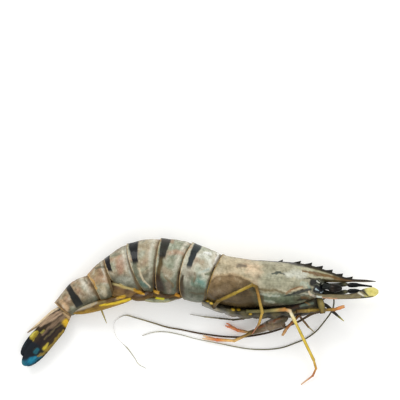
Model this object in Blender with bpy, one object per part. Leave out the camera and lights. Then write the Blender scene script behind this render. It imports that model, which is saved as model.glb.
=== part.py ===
"""Raw tiger prawn, lying on its left flank.

Metres in the finished model, millimetres in the tables below. +X runs to the head, +Y to the
back, +Z up from the table. The origin is the middle of the base of the prawn's box.
"""
import math

import bmesh
import bpy
import numpy as np

MM = 0.001

# Driving sizes, in millimetres
BODY_SIDES = 24
FLAT_SINK = 0.3
PLATE_GAP = 0.5
PLATE_TUCK = 0.95
PLATE_LIP = 1.015
HEAD_MID = 12.9
FLESH_EXPONENT = 0.87
BELLY_SHARE = 0.10
LIMB_SIDES = 6
JOINT_SWELL = 1.12
JOINT_NECK = 0.84
FINGER_SPREAD = 0.7
LEAF_SIDES = 8
RIDGE_SHARE = 0.35
SHARP_ANGLE = 40

# Rings along each kind of body
CARAPACE_RINGS = 17
PLATE_RINGS = 9
THORAX_RINGS = 11
ROSTRUM_RINGS = 19
SCALE_RINGS = 11
LEAF_STEPS = (0.0, 0.07, 0.18, 0.32, 0.48, 0.64, 0.78, 0.88, 0.95, 1.0)

# Where along a plate its rear lip ends and its tuck begins
LIP_END = 0.3
TUCK_START = 0.72

# Rostral tooth: rings along it, depth of its foot in the crest, its thinning and the height of its front
TOOTH_STEPS = (0.0, 0.4, 0.75, 0.92, 1.0)
TOOTH_SINK = 0.8
TOOTH_THINNING = 0.7
TOOTH_FRONT = 0.4

# Limb stations between two joints, and the pincer's finger
SWELL_STEPS = ((0.0, JOINT_SWELL), (0.14, JOINT_NECK), (0.8, 1.0))
PALM_SWELL = 1.05
FINGER_ROOT = 0.25
FINGER_BEND = 0.45

# Tail blade: width at its base, where it stops widening, where a blunt tip starts to round
BLADE_BASE = 0.45
BLADE_WIDENING = 2.4
BLADE_THINNING = 0.45
BLADE_POINT = 0.12
BLUNT_START = 0.62
BLUNT_SPAN = 0.4

# Carapace sections from its rear edge to the head: back x, y, belly x, y, half width, middle z, bow
CARAPACE = [
    (11.7, 30.2, 2.9, 6.8, 12.1, 11.8, 1.6),
    (16.6, 28.8, 7.3, 4.7, 12.8, 12.5, 1.2),
    (26.5, 27.3, 19.8, 2.1, 13.2, 12.9, 0.4),
    (36.4, 26.6, 32.2, 2.3, 12.6, 12.9, 0.0),
    (43.7, 26.0, 41.6, 2.9, 11.4, 12.9, 0.0),
    (52.0, 24.7, 51.0, 3.9, 9.4, 12.9, 0.0),
    (58.0, 22.6, 57.4, 6.2, 7.6, 12.9, 0.0),
    (62.0, 20.4, 61.6, 7.5, 6.0, 12.9, 0.0),
    (64.6, 18.6, 64.4, 9.0, 4.2, 12.9, 0.0),
]

# Rostrum sections: x, upper edge y, lower edge y, half thickness
ROSTRUM = [
    (38.0, 25.6, 20.0, 2.6),
    (44.7, 26.1, 20.6, 2.5),
    (53.2, 25.2, 20.3, 2.2),
    (59.1, 23.9, 16.8, 1.9),
    (64.1, 22.3, 15.6, 1.6),
    (69.4, 20.4, 15.3, 1.3),
    (74.7, 18.3, 15.35, 1.1),
    (79.8, 17.2, 15.6, 0.9),
    (86.3, 16.8, 15.5, 0.8),
    (91.4, 16.1, 15.7, 0.5),
]

# Rostral teeth: tip x, tip y, foot length, half thickness
TEETH = [
    (43.2, 27.3, 5.0, 0.8),
    (52.6, 26.7, 4.6, 0.8),
    (58.4, 25.8, 4.2, 0.75),
    (64.0, 24.1, 4.0, 0.7),
    (69.1, 22.1, 3.8, 0.65),
    (74.4, 20.1, 3.6, 0.6),
    (79.5, 18.5, 3.4, 0.55),
]

# Abdomen plates from the carapace to the tail: rear, middle and front section of each,
# as back x, y, belly x, y, half width, bow
ABDOMEN = [
    [
        (-3.4, 35.9, -9.9, 7.0, 12.2, 3.0),
        (4.2, 33.1, -3.6, 5.5, 12.2, 2.3),
        (11.7, 30.2, 2.6, 6.2, 12.0, 1.6),
    ],
    [
        (-20.0, 38.2, -22.4, 9.1, 11.7, 1.5),
        (-11.4, 37.5, -17.2, 8.1, 12.0, 2.2),
        (-3.4, 35.9, -10.9, 7.8, 12.1, 3.0),
    ],
    [
        (-37.6, 35.4, -28.6, 10.1, 10.5, 2.0),
        (-29.1, 37.6, -26.3, 9.6, 11.1, 1.8),
        (-20.0, 38.2, -23.4, 9.9, 11.5, 1.5),
    ],
    [
        (-49.7, 27.6, -45.0, 14.8, 8.7, 0.5),
        (-43.7, 32.0, -37.4, 12.2, 9.6, 1.2),
        (-37.6, 35.4, -29.4, 9.9, 10.3, 2.0),
    ],
    [
        (-58.6, 19.4, -51.1, 4.7, 6.7, -0.5),
        (-54.1, 24.2, -47.8, 5.7, 7.6, 0.0),
        (-49.7, 27.6, -44.4, 7.8, 8.4, 0.5),
    ],
    [
        (-75.4, 5.2, -66.7, -2.3, 4.6, 0.2),
        (-67.6, 14.6, -59.3, 1.6, 5.6, 0.0),
        (-58.6, 19.4, -51.1, 5.2, 6.4, -0.5),
    ],
]

# Underside of the thorax: upper x, y, lower x, y, half width
THORAX = [
    (0.4, 5.0, 1.0, 3.2, 4.6),
    (5.0, 4.6, 7.2, 0.8, 6.4),
    (10.4, 3.2, 13.2, -1.2, 7.4),
    (19.8, 1.1, 20.8, -3.0, 8.4),
    (32.2, 1.3, 32.2, -3.4, 8.4),
    (44.2, 2.2, 44.7, -2.9, 7.6),
    (52.5, 3.6, 55.1, -1.8, 5.4),
    (58.4, 5.6, 60.9, 0.6, 3.4),
]

# Tail fan: base x, y, tip x, y, greatest half width, base z, tip z, half thickness, blunt or not
TELSON = (-72.0, 2.0, -90.2, -11.1, 2.7, 4.0, 3.2, 0.95, False)
UROPODS = {
    "uropod_endopod_right": (-71.3, -0.4, -93.1, -22.8, 4.2, 6.1, 4.7, 0.42, True),
    "uropod_exopod_right": (-69.6, -2.4, -90.9, -28.3, 4.3, 7.6, 6.1, 0.45, True),
    "uropod_endopod_left": (-71.3, -0.4, -93.1, -22.8, 4.2, 2.0, 1.9, 0.4, True),
    "uropod_exopod_left": (-69.6, -2.4, -90.9, -28.3, 4.3, 0.55, 0.55, 0.5, True),
}

# Eye on its stalk, right side: x, y, z, radius
EYE = [
    (65.3, 13.4, 17.1, 1.5),
    (66.6, 13.0, 17.4, 1.4),
    (67.6, 12.8, 17.7, 1.8),
    (69.0, 12.6, 17.9, 2.2),
    (71.0, 12.5, 18.0, 2.1),
    (72.9, 12.4, 18.1, 1.4),
    (73.7, 12.4, 18.1, 0.4),
]

# First antennae, right side: x, y, z, radius
ANTENNULE = [
    (65.3, 10.4, 13.9, 1.3),
    (67.6, 9.7, 14.2, 1.3),
    (75.2, 10.5, 14.6, 1.1),
    (76.6, 10.8, 14.8, 0.7),
    (78.0, 10.9, 14.8, 1.2),
    (81.0, 10.9, 14.8, 1.2),
    (83.6, 10.8, 14.8, 0.7),
    (89.5, 10.2, 14.5, 0.4),
]
ANTENNULE_LEFT_RISE = 3.1

# Antennal scale, right side: x, upper y, lower y, z, half thickness
SCALE = [
    (60.4, 9.3, 7.6, 19.0, 0.5),
    (64.8, 9.3, 7.2, 18.6, 0.6),
    (68.6, 9.4, 6.8, 18.6, 0.6),
    (78.0, 9.3, 6.9, 18.9, 0.5),
    (86.3, 12.2, 7.4, 18.6, 0.5),
    (90.5, 12.7, 8.2, 18.3, 0.4),
    (92.6, 11.5, 9.8, 18.1, 0.3),
]

# Stalk of the second antenna, right side: x, y, z, radius
STALK = [(61.8, 4.8, 16.0, 1.2), (62.8, 5.4, 18.2, 1.5), (64.0, 2.6, 20.0, 1.6), (63.7, -0.9, 20.2, 1.4)]

# Third maxilliped, right side: x, y, z, radius
MAXILLIPED = [
    (61.2, 4.2, 14.4, 0.8),
    (65.4, 3.5, 15.4, 0.95),
    (69.7, -0.3, 14.8, 0.8),
    (74.8, -4.7, 13.4, 0.25),
]

# Walking legs: joints as x, y, z, radius, then whether the leg ends in a pincer
LEGS = {
    "leg_1_right": ([(50.0, 0.6, 21.0, 1.0), (56.2, 0.8, 19.0, 1.0), (65.0, 1.2, 17.1, 0.9),
                     (69.9, 1.4, 16.9, 0.9), (75.1, 3.1, 16.8, 0.3)], True),
    "leg_2_right": ([(51.0, -3.3, 16.4, 0.9), (47.8, -5.4, 14.6, 0.8), (45.2, -8.4, 11.6, 0.8),
                     (42.9, -12.4, 8.4, 0.3)], True),
    "leg_3_right": ([(43.4, -6.1, 14.8, 2.1), (36.2, -7.2, 11.2, 2.7), (26.0, -11.4, 5.2, 0.9),
                     (17.9, -15.3, 3.4, 0.8), (8.8, -14.8, 2.6, 0.9), (1.3, -13.4, 2.2, 0.3)], True),
    "leg_4_right": ([(24.0, 0.6, 22.5, 1.0), (32.5, 0.6, 22.5, 0.95), (43.8, 1.6, 22.1, 1.0),
                     (46.5, 0.8, 22.0, 1.0), (48.4, -3.0, 20.4, 0.95), (59.3, -25.2, 6.2, 0.75),
                     (60.6, -29.8, 3.8, 0.6), (59.0, -33.6, 2.0, 0.55), (52.8, -38.4, 0.75, 0.25)], False),
    "leg_5_right": ([(7.0, 2.8, 21.2, 1.1), (9.2, 5.8, 24.8, 1.0), (17.8, 10.0, 27.3, 0.9),
                     (26.9, 14.4, 28.0, 0.9), (29.1, 13.4, 27.9, 0.9), (32.2, 0.2, 25.0, 0.8),
                     (30.6, -6.0, 18.8, 0.7), (27.3, -11.4, 7.6, 0.25)], False),
    "leg_1_left": ([(52.4, -3.1, 9.6, 0.7), (56.6, -8.0, 7.0, 0.5), (59.5, -10.6, 5.2, 0.25)], False),
    "leg_2_left": ([(46.5, 0.4, 4.3, 1.0), (53.4, 0.2, 6.1, 0.9), (60.2, 0.2, 7.4, 0.3)], True),
    "leg_3_left": ([(41.2, -4.3, 8.8, 1.1), (32.2, -8.6, 4.6, 1.0), (25.6, -11.0, 2.2, 0.8),
                    (19.8, -9.9, 1.7, 0.9), (13.5, -6.8, 1.4, 0.3)], True),
    "leg_4_left": ([(41.0, -0.4, 3.4, 1.0), (29.0, -1.0, 2.9, 0.9), (17.0, -0.6, 3.2, 0.8),
                    (13.4, 0.6, 3.2, 0.3)], False),
    "leg_5_left": ([(22.6, -3.7, 5.8, 0.9), (17.5, -4.4, 2.4, 0.7), (10.4, -3.7, 1.0, 0.5),
                    (2.6, -2.9, 0.75, 0.4), (-5.2, -1.6, 0.6, 0.2)], False),
}
PINCER_SHARE = 0.42

# Swimming legs, right side: sections as x, upper y, lower y
PLEOPODS = [
    [(-8.4, 5.9, 4.6), (-17.7, 5.6, 4.4), (-28.2, 5.6, 4.9)],
    [(-11.2, 7.2, 6.5), (-16.6, 7.4, 6.2), (-21.6, 8.2, 6.2)],
    [(-23.2, 8.9, 6.2), (-26.6, 9.0, 6.0), (-30.0, 6.8, 5.7), (-35.3, 6.4, 5.6)],
    [(-30.2, 9.4, 7.2), (-36.4, 11.2, 7.2), (-43.0, 13.3, 7.4)],
    [(-36.9, 6.2, 5.2), (-44.2, 6.4, 3.9), (-52.0, 3.4, 1.6), (-61.4, -0.6, -1.7)],
]
PLEOPOD_OFFSET_SHARE = 0.32
PLEOPOD_HALF_SHARE = 0.27
SWIMMERET_STUB = [(-51.4, 1.1, 9.4, 0.5), (-50.2, -2.1, 8.4, 0.4), (-48.7, -6.0, 7.0, 0.2)]

# Second antennae lying on the table: x, y, z
ANTENNA_RIGHT = [
    (62.2, 0.4, 21.4), (57.3, -1.2, 20.4), (51.8, -4.6, 15.4), (46.3, -7.2, 9.2), (41.2, -9.4, 4.8),
    (35.4, -11.2, 1.9), (28.1, -12.7, 0.6), (20.8, -13.5, 0.55), (12.5, -13.2, 0.5), (5.2, -12.3, 0.5),
    (-2.1, -11.2, 0.5), (-9.4, -9.7, 0.5), (-17.2, -8.3, 0.5), (-24.1, -6.2, 0.5), (-33.4, -3.5, 0.5),
    (-39.5, -2.2, 0.5), (-44.8, -6.0, 0.5), (-44.3, -12.2, 0.5), (-41.3, -16.0, 0.5), (-37.7, -19.6, 0.5),
    (-34.2, -24.4, 0.5), (-32.1, -27.6, 0.5), (-28.1, -29.9, 0.5),
]
ANTENNA_LEFT = [
    (66.2, 3.2, 6.2), (67.6, 6.0, 6.8), (69.5, 5.6, 6.8), (69.3, 1.6, 6.0), (67.4, -1.9, 4.6),
    (63.2, -7.6, 2.2), (60.2, -10.9, 0.9), (55.5, -14.2, 0.5), (49.9, -16.6, 0.5), (43.4, -18.9, 0.5),
    (36.5, -19.9, 0.5), (28.1, -19.9, 0.5), (20.3, -18.9, 0.5), (10.8, -17.0, 0.5), (-1.3, -14.6, 0.5),
    (-9.4, -12.4, 0.5), (-17.5, -10.8, 0.5), (-24.1, -10.9, 0.5), (-30.2, -12.7, 0.5),
]
ANTENNA_POINTS = {"antenna_right": 46, "antenna_left": 34}
ANTENNA_RADII = {"antenna_right": (0.5, 0.2), "antenna_left": (0.42, 0.2)}

# Finishes: colour, roughness
FINISHES = {
    "shell": ((0.36, 0.32, 0.22), 0.35),
    "tail": ((0.10, 0.08, 0.05), 0.4),
    "leg": ((0.55, 0.38, 0.06), 0.4),
    "swimmer": ((0.19, 0.12, 0.04), 0.45),
    "eye": ((0.01, 0.008, 0.006), 0.12),
    "antenna": ((0.12, 0.07, 0.02), 0.45),
}


def clear_scene():
    for thing in list(bpy.data.objects):
        bpy.data.objects.remove(thing, do_unlink=True)


def make_finish(name):
    colour, roughness = FINISHES[name]
    finish = bpy.data.materials.new(name)
    finish.use_nodes = True
    shader = finish.node_tree.nodes["Principled BSDF"]
    shader.inputs["Base Color"].default_value = (*colour, 1.0)
    shader.inputs["Roughness"].default_value = roughness
    shader.inputs["Metallic"].default_value = 0.0
    return finish


def smooth_rows(rows, count):
    """Rows of numbers read at even steps along a Catmull-Rom curve through the given rows."""
    rows = np.asarray(rows, dtype=float)
    padded = np.vstack([2 * rows[0] - rows[1], rows, 2 * rows[-1] - rows[-2]])
    place = np.linspace(0, len(rows) - 1, count)
    span = np.minimum(place.astype(int), len(rows) - 2)
    t = (place - span)[:, None]
    a, b, c, d = (padded[span + k] for k in range(4))
    square = (2 * a - 5 * b + 4 * c - d) * t ** 2
    cube = (3 * b - a - 3 * c + d) * t ** 3
    return 0.5 * (2 * b + (c - a) * t + square + cube)


def signed_power(values, exponent):
    return np.sign(values) * np.abs(values) ** exponent


def loft(name, rings, finish, ends=None):
    """One closed body through rings of points, each end closed by a fan on its own middle point."""
    mesh = bmesh.new()
    rows = [[mesh.verts.new(point * MM) for point in ring] for ring in rings]
    sides = len(rows[0])
    for near, far in zip(rows, rows[1:]):
        for k in range(sides):
            mesh.faces.new((near[k], near[(k + 1) % sides], far[(k + 1) % sides], far[k]))
    middles = ends or (np.mean(rings[0], axis=0), np.mean(rings[-1], axis=0))
    for row, middle in zip((rows[0], rows[-1]), middles):
        hub = mesh.verts.new(np.asarray(middle) * MM)
        for k in range(sides):
            mesh.faces.new((row[k], row[(k + 1) % sides], hub))
    bmesh.ops.recalc_face_normals(mesh, faces=mesh.faces)
    data = bpy.data.meshes.new(name)
    mesh.to_mesh(data)
    mesh.free()
    data.materials.append(finish)
    data.shade_smooth()
    data.set_sharp_from_angle(angle=math.radians(SHARP_ANGLE))
    thing = bpy.data.objects.new(name, data)
    bpy.context.scene.collection.objects.link(thing)
    return thing


def body_ring(section, size=1.0, shift=0.0):
    """Section of the body: back to belly in the plane of the picture, half width across it."""
    back_x, back_y, belly_x, belly_y, half_width, middle_z, bow = section
    back = np.array([back_x, back_y])
    belly = np.array([belly_x, belly_y])
    centre = (back + belly) / 2
    half = (back - belly) / 2
    ahead = np.array([half[1], -half[0]]) / np.linalg.norm(half)
    turn = np.arange(BODY_SIDES) * 2 * math.pi / BODY_SIDES
    along = signed_power(np.cos(turn), FLESH_EXPONENT) * size
    across = signed_power(np.sin(turn), FLESH_EXPONENT) * (1 - BELLY_SHARE * np.cos(turn)) * size
    lean = shift - bow * np.sin(turn) ** 2
    flat = centre + along[:, None] * half + lean[:, None] * ahead
    height = np.maximum(middle_z + half_width * across, 0.0)
    ring = np.column_stack([flat, height])
    hub = np.append(centre + (shift - bow) * ahead, middle_z)
    return ring, hub


def plate_size(t):
    """Plate size along its length: proud at the rear lip, tucked in under the plate ahead."""
    tuck = (1 - PLATE_TUCK) * np.clip((t - TUCK_START) / (1 - TUCK_START), 0, 1) ** 1.5
    lip = (PLATE_LIP - 1) * np.clip((LIP_END - t) / LIP_END, 0, 1)
    return 1 - tuck + lip


def abdomen_plate(name, sections, finish):
    rows = []
    for back_x, back_y, belly_x, belly_y, half_width, bow in sections:
        rows.append((back_x, back_y, belly_x, belly_y, half_width, half_width - FLAT_SINK, bow))
    rings = []
    hubs = []
    for step, section in enumerate(smooth_rows(rows, PLATE_RINGS)):
        t = step / (PLATE_RINGS - 1)
        ring, hub = body_ring(section, plate_size(t), PLATE_GAP * (0.5 - t))
        rings.append(ring)
        hubs.append(hub)
    return loft(name, rings, finish, (hubs[0], hubs[-1]))


def carapace(finish):
    """Carapace with its rostrum and teeth, joined into one solid."""
    rings = []
    hubs = []
    for step, section in enumerate(smooth_rows(CARAPACE, CARAPACE_RINGS)):
        size = PLATE_LIP if step == 0 else 1.0
        ring, hub = body_ring(section, size, PLATE_GAP * 0.5 if step == 0 else 0.0)
        rings.append(ring)
        hubs.append(hub)
    shell = loft("carapace", rings, finish, (hubs[0], hubs[-1]))
    extras = bpy.data.collections.new("rostrum_pieces")
    bpy.context.scene.collection.children.link(extras)
    pieces = [rostrum_blade(finish)]
    for tip_x, tip_y, foot, half in TEETH:
        pieces.append(tooth(tip_x, tip_y, foot, half, finish))
    for piece in pieces:
        bpy.context.scene.collection.objects.unlink(piece)
        extras.objects.link(piece)
    join = shell.modifiers.new("join", "BOOLEAN")
    join.operation = "UNION"
    join.operand_type = "COLLECTION"
    join.collection = extras
    join.solver = "EXACT"
    apply_modifiers(shell)
    for piece in pieces:
        bpy.data.objects.remove(piece, do_unlink=True)
    bpy.data.collections.remove(extras)
    return shell


def rostrum_blade(finish):
    rings = []
    for x, top, bottom, half in smooth_rows(ROSTRUM, ROSTRUM_RINGS):
        turn = np.arange(LEAF_SIDES) * 2 * math.pi / LEAF_SIDES
        y = (top + bottom) / 2 + (top - bottom) / 2 * np.cos(turn)
        z = HEAD_MID + half * np.sin(turn)
        rings.append(np.column_stack([np.full(LEAF_SIDES, x), y, z]))
    return loft("rostrum_blade", rings, finish)


def tooth(tip_x, tip_y, foot, half, finish):
    """Low saw tooth: its edge rises from the crest to the tip, then drops back steeply."""
    crest_x = [row[0] for row in ROSTRUM]
    crest_y = [row[1] for row in ROSTRUM]
    height = tip_y - np.interp(tip_x, crest_x, crest_y)
    rings = []
    for share in TOOTH_STEPS:
        x = tip_x - foot * (1 - share)
        crest = np.interp(x, crest_x, crest_y)
        top = crest + height * share
        bottom = top - TOOTH_FRONT if share == 1 else crest - TOOTH_SINK
        thick = half * (1 - TOOTH_THINNING * share)
        middle = (top + bottom) / 2
        upper = (x, top, HEAD_MID)
        lower = (x, bottom, HEAD_MID)
        rings.append(np.array([upper, (x, middle, HEAD_MID - thick), lower, (x, middle, HEAD_MID + thick)]))
    return loft("rostral_tooth", rings, finish)


def apply_modifiers(thing):
    """Keeps the shape that the modifiers give, as the object's own mesh."""
    graph = bpy.context.evaluated_depsgraph_get()
    graph.update()
    data = bpy.data.meshes.new_from_object(thing.evaluated_get(graph))
    thing.modifiers.clear()
    thing.data = data


def tube(name, rows, finish, sides=LIMB_SIDES, flat=1.0):
    """Round rod through rows of x, y, z, radius; flat squeezes it upwards."""
    rows = np.asarray(rows, dtype=float)
    points = rows[:, :3]
    way = np.gradient(points, axis=0)
    way /= np.linalg.norm(way, axis=1)[:, None]
    side = np.cross(way, (0.0, 0.0, 1.0))
    side /= np.linalg.norm(side, axis=1)[:, None]
    lift = np.cross(side, way)
    turn = np.arange(sides) * 2 * math.pi / sides
    rings = []
    for point, s, u, radius in zip(points, side, lift, rows[:, 3]):
        ring = point + radius * (np.cos(turn)[:, None] * s + flat * np.sin(turn)[:, None] * u)
        rings.append(ring)
    return loft(name, rings, finish)


def jointed(rows):
    """Rows for a limb: swollen at each joint, necked beside it."""
    out = []
    for a, b in zip(rows, rows[1:]):
        a = np.array(a)
        b = np.array(b)
        for t, factor in SWELL_STEPS:
            row = a + (b - a) * t
            row[3] *= factor
            out.append(row)
    out.append(np.array(rows[-1]))
    return out


def leg(name, rows, pincer, finish):
    if not pincer:
        return tube(name, jointed(rows), finish)
    wrist = np.array(rows[-2])
    tip = np.array(rows[-1])
    palm = wrist + (tip - wrist) * (1 - PINCER_SHARE)
    palm[3] = wrist[3] * PALM_SWELL
    aside = np.array([-(tip - palm)[1], (tip - palm)[0]])
    aside = aside / np.linalg.norm(aside) * FINGER_SPREAD
    fixed_tip = tip.copy()
    fixed_tip[:2] += aside
    free_tip = tip.copy()
    free_tip[:2] -= aside
    limb = tube(name, jointed(rows[:-1] + [tuple(palm)]) + [fixed_tip], finish)
    free_root = palm + (wrist - palm) * FINGER_ROOT
    free_root[3] = palm[3] * 0.6
    bend = palm + (free_tip - palm) * FINGER_BEND
    bend[:2] -= aside / 2
    bend[3] = palm[3] / 2
    finger = tube(name + "_finger", [free_root, bend, free_tip], finish)
    join = limb.modifiers.new("join", "BOOLEAN")
    join.operation = "UNION"
    join.object = finger
    join.solver = "EXACT"
    apply_modifiers(limb)
    bpy.data.objects.remove(finger, do_unlink=True)
    return limb


def leaf(name, shape, finish):
    """Thin ridged blade of the tail fan, from its base to its tip."""
    base_x, base_y, tip_x, tip_y, half_width, base_z, tip_z, half_thick, blunt = shape
    base = np.array([base_x, base_y])
    tip = np.array([tip_x, tip_y])
    way = (tip - base) / np.linalg.norm(tip - base)
    side = np.array([-way[1], way[0]])
    turn = np.arange(LEAF_SIDES) * 2 * math.pi / LEAF_SIDES
    rings = []
    for t in LEAF_STEPS:
        spread = leaf_spread(t, blunt)
        middle = base + (tip - base) * t
        flat = middle + (half_width * spread * np.cos(turn))[:, None] * side
        ridge = half_thick * (1 + RIDGE_SHARE * np.sin(turn) ** 4) * (1 - BLADE_THINNING * t)
        height = base_z + (tip_z - base_z) * t + ridge * np.sin(turn)
        rings.append(np.column_stack([flat, np.maximum(height, 0.0)]))
    return loft(name, rings, finish)


def leaf_spread(t, blunt):
    """Share of the greatest half width at t along the blade."""
    swell = min(1.0, BLADE_BASE + BLADE_WIDENING * t)
    if blunt:
        return swell * math.sqrt(max(0.0, 1 - max(0.0, (t - BLUNT_START) / BLUNT_SPAN) ** 2))
    return swell * (BLADE_POINT + (1 - BLADE_POINT) * (1 - t))


def pleopod(name, rows, sign, finish):
    """Flat swimming leg under the belly, beside the middle plane: rows of x, upper y, lower y."""
    turn = np.arange(LEAF_SIDES) * 2 * math.pi / LEAF_SIDES
    rings = []
    for x, top, bottom in smooth_rows(rows, 2 * len(rows) + 1):
        middle = body_middle(x)
        y = (top + bottom) / 2 + (top - bottom) / 2 * np.cos(turn)
        z = middle * (1 + sign * PLEOPOD_OFFSET_SHARE + PLEOPOD_HALF_SHARE * np.sin(turn))
        rings.append(np.column_stack([np.full(LEAF_SIDES, x), y, z]))
    return loft(name, rings, finish)


def scale_blade(name, middle, finish):
    """Antennal scale: a thin blade beside the head; middle tells the side it is on."""
    turn = np.arange(LEAF_SIDES) * 2 * math.pi / LEAF_SIDES
    rings = []
    for x, top, bottom, z, half in smooth_rows(SCALE, SCALE_RINGS):
        height = z if middle > 0 else 2 * HEAD_MID - z
        y = (top + bottom) / 2 + (top - bottom) / 2 * np.cos(turn)
        rings.append(np.column_stack([np.full(LEAF_SIDES, x), y, height + half * np.sin(turn)]))
    return loft(name, rings, finish)


def mirrored(rows):
    """The same rows on the prawn's left side, below its middle plane."""
    return [(x, y, 2 * HEAD_MID - z, radius) for x, y, z, radius in rows]


def antenna(name, points, finish):
    """Whip of the second antenna: a thin tapering curve laid on the table."""
    count = ANTENNA_POINTS[name]
    thick, thin = ANTENNA_RADII[name]
    route = smooth_rows(points, count)
    curve = bpy.data.curves.new(name, "CURVE")
    curve.dimensions = "3D"
    curve.bevel_depth = thick * MM
    curve.bevel_resolution = 1
    curve.use_fill_caps = True
    line = curve.splines.new("POLY")
    line.points.add(count - 1)
    for k, point in enumerate(route):
        line.points[k].co = (*(point * MM), 1.0)
        line.points[k].radius = 1 + (thin / thick - 1) * k / (count - 1)
    curve.materials.append(finish)
    thing = bpy.data.objects.new(name, curve)
    bpy.context.scene.collection.objects.link(thing)
    return thing


def body_middle(x):
    """Height of the abdomen's middle plane at x, read from the plates' own half widths."""
    stations = sorted((plate[1][0], plate[1][4] - FLAT_SINK) for plate in ABDOMEN)
    return float(np.interp(x, [s[0] for s in stations], [s[1] for s in stations]))


def build_body(finish):
    carapace(finish["shell"])
    for number, sections in enumerate(ABDOMEN, start=1):
        abdomen_plate(f"abdomen_{number}", sections, finish["shell"])
    rows = [(*row, HEAD_MID, 0.0) for row in THORAX]
    rings = [body_ring(section)[0] for section in smooth_rows(rows, THORAX_RINGS)]
    loft("thorax_underside", rings, finish["shell"])


def build_tail(finish):
    leaf("telson", TELSON, finish["tail"])
    for name, shape in UROPODS.items():
        leaf(name, shape, finish["tail"])


def build_head(finish):
    for side in ("right", "left"):
        place = (lambda rows: rows) if side == "right" else mirrored
        tube(f"eye_{side}", place(EYE), finish["eye"], sides=10)
        rows = ANTENNULE
        if side == "left":
            rows = [(x, y + ANTENNULE_LEFT_RISE, HEAD_MID, radius) for x, y, z, radius in ANTENNULE]
        tube(f"antennule_{side}", rows, finish["eye"], sides=8)
        scale_blade(f"antennal_scale_{side}", 1 if side == "right" else -1, finish["shell"])
        tube(f"antenna_stalk_{side}", place(STALK), finish["swimmer"], sides=8)
        tube(f"maxilliped_{side}", place(MAXILLIPED), finish["antenna"])
    antenna("antenna_right", ANTENNA_RIGHT, finish["antenna"])
    antenna("antenna_left", ANTENNA_LEFT, finish["antenna"])


def build_limbs(finish):
    for name, (rows, pincer) in LEGS.items():
        leg(name, rows, pincer, finish["leg"])
    for number, rows in enumerate(PLEOPODS, start=1):
        for side, sign in (("right", 1), ("left", -1)):
            pleopod(f"pleopod_{number}_{side}", rows, sign, finish["swimmer"])
    tube("pleopod_tip", SWIMMERET_STUB, finish["swimmer"])


def main():
    clear_scene()
    finish = {name: make_finish(name) for name in FINISHES}
    build_body(finish)
    build_tail(finish)
    build_head(finish)
    build_limbs(finish)


main()
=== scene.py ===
import math

import bpy
import bmesh
import numpy as np
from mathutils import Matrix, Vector


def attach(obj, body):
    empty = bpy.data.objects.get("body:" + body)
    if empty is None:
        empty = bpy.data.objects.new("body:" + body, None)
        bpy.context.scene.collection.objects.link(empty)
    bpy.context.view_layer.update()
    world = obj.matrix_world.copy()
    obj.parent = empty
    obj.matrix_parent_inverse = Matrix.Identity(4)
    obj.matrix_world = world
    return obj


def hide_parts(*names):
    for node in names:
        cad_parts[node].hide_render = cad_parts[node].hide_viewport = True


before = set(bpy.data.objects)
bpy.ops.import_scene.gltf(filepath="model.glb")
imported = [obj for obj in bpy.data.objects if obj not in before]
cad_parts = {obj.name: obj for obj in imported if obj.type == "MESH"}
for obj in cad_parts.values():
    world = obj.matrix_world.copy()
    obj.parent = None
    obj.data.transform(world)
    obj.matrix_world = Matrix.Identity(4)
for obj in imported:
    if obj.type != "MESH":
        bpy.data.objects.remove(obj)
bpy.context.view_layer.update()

mm = 0.001


# Numbers shared by the whole prawn, in millimetres
body = {
    "fleshExponent": 0.87,
    "bellyShare": 0.10,
    "flatSink": 0.3,
    "headMiddle": 12.9,
    "tableClearance": 0.04,
    "thinnestRod": 0.12,
}

# Camera straight above, far off, so that 208 mm of table fill the picture's width
view = {
    "distance": 2.0,
    "tableWidth": 0.208,
    "middleHeight": 0.013,
    "pictureMiddle": 0.05824,
    "sensor": 36.0,
}
camera = bpy.data.cameras.new("prawnCamera")
camera.sensor_width = view["sensor"]
camera.lens = view["sensor"] * view["distance"] / view["tableWidth"]
camera.clip_end = 20.0
cameraObject = bpy.data.objects.new("prawnCamera", camera)
cameraObject.location = (0.0, view["pictureMiddle"], view["distance"] + view["middleHeight"])
bpy.context.scene.collection.objects.link(cameraObject)
bpy.context.scene.camera = cameraObject
print("camera set")


# Rows of numbers read at any place along a Catmull-Rom curve through them
def rowsAt(rows, place):
    rows = np.asarray(rows, dtype=float)
    padded = np.vstack([2 * rows[0] - rows[1], rows, 2 * rows[-1] - rows[-2]])
    place = np.asarray(place, dtype=float)
    span = np.clip(np.floor(place).astype(int), 0, len(rows) - 2)
    t = (place - span)[..., None]
    a, b, c, d = (padded[span + k] for k in range(4))
    square = (2 * a - 5 * b + 4 * c - d) * t ** 2
    cube = (3 * b - a - 3 * c + d) * t ** 3
    return 0.5 * (2 * b + (c - a) * t + square + cube)


def smoothRows(rows, count):
    return rowsAt(rows, np.linspace(0, len(rows) - 1, count))


# 0 below low, 1 above high, an S-curve between
def smoothStep(low, high, value):
    t = np.clip((value - low) / (high - low), 0, 1)
    return t * t * (3 - 2 * t)


# Soft irregular field from about -1 to 1: the mean of waves in many directions, near one size
def ripple(points, size, seed):
    rng = np.random.default_rng(seed)
    ways = rng.normal(size=(11, 3))
    ways /= np.linalg.norm(ways, axis=1)[:, None]
    lengths = size * rng.uniform(0.6, 1.7, 11)
    phase = rng.uniform(0, 2 * math.pi, 11)
    waves = np.sin(points @ (ways / lengths[:, None]).T * 2 * math.pi + phase)
    return waves.mean(axis=-1) * 2.2


# 1 inside an ellipse of the table's plane, fading to 0 across its edge
def ovalMask(points, centre, radii, tilt, soft):
    dx = points[..., 0] - centre[0]
    dy = points[..., 1] - centre[1]
    c = math.cos(math.radians(tilt))
    s = math.sin(math.radians(tilt))
    reach = np.hypot((dx * c + dy * s) / radii[0], (dy * c - dx * s) / radii[1])
    return 1 - smoothStep(1 - soft, 1 + soft, reach)


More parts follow.
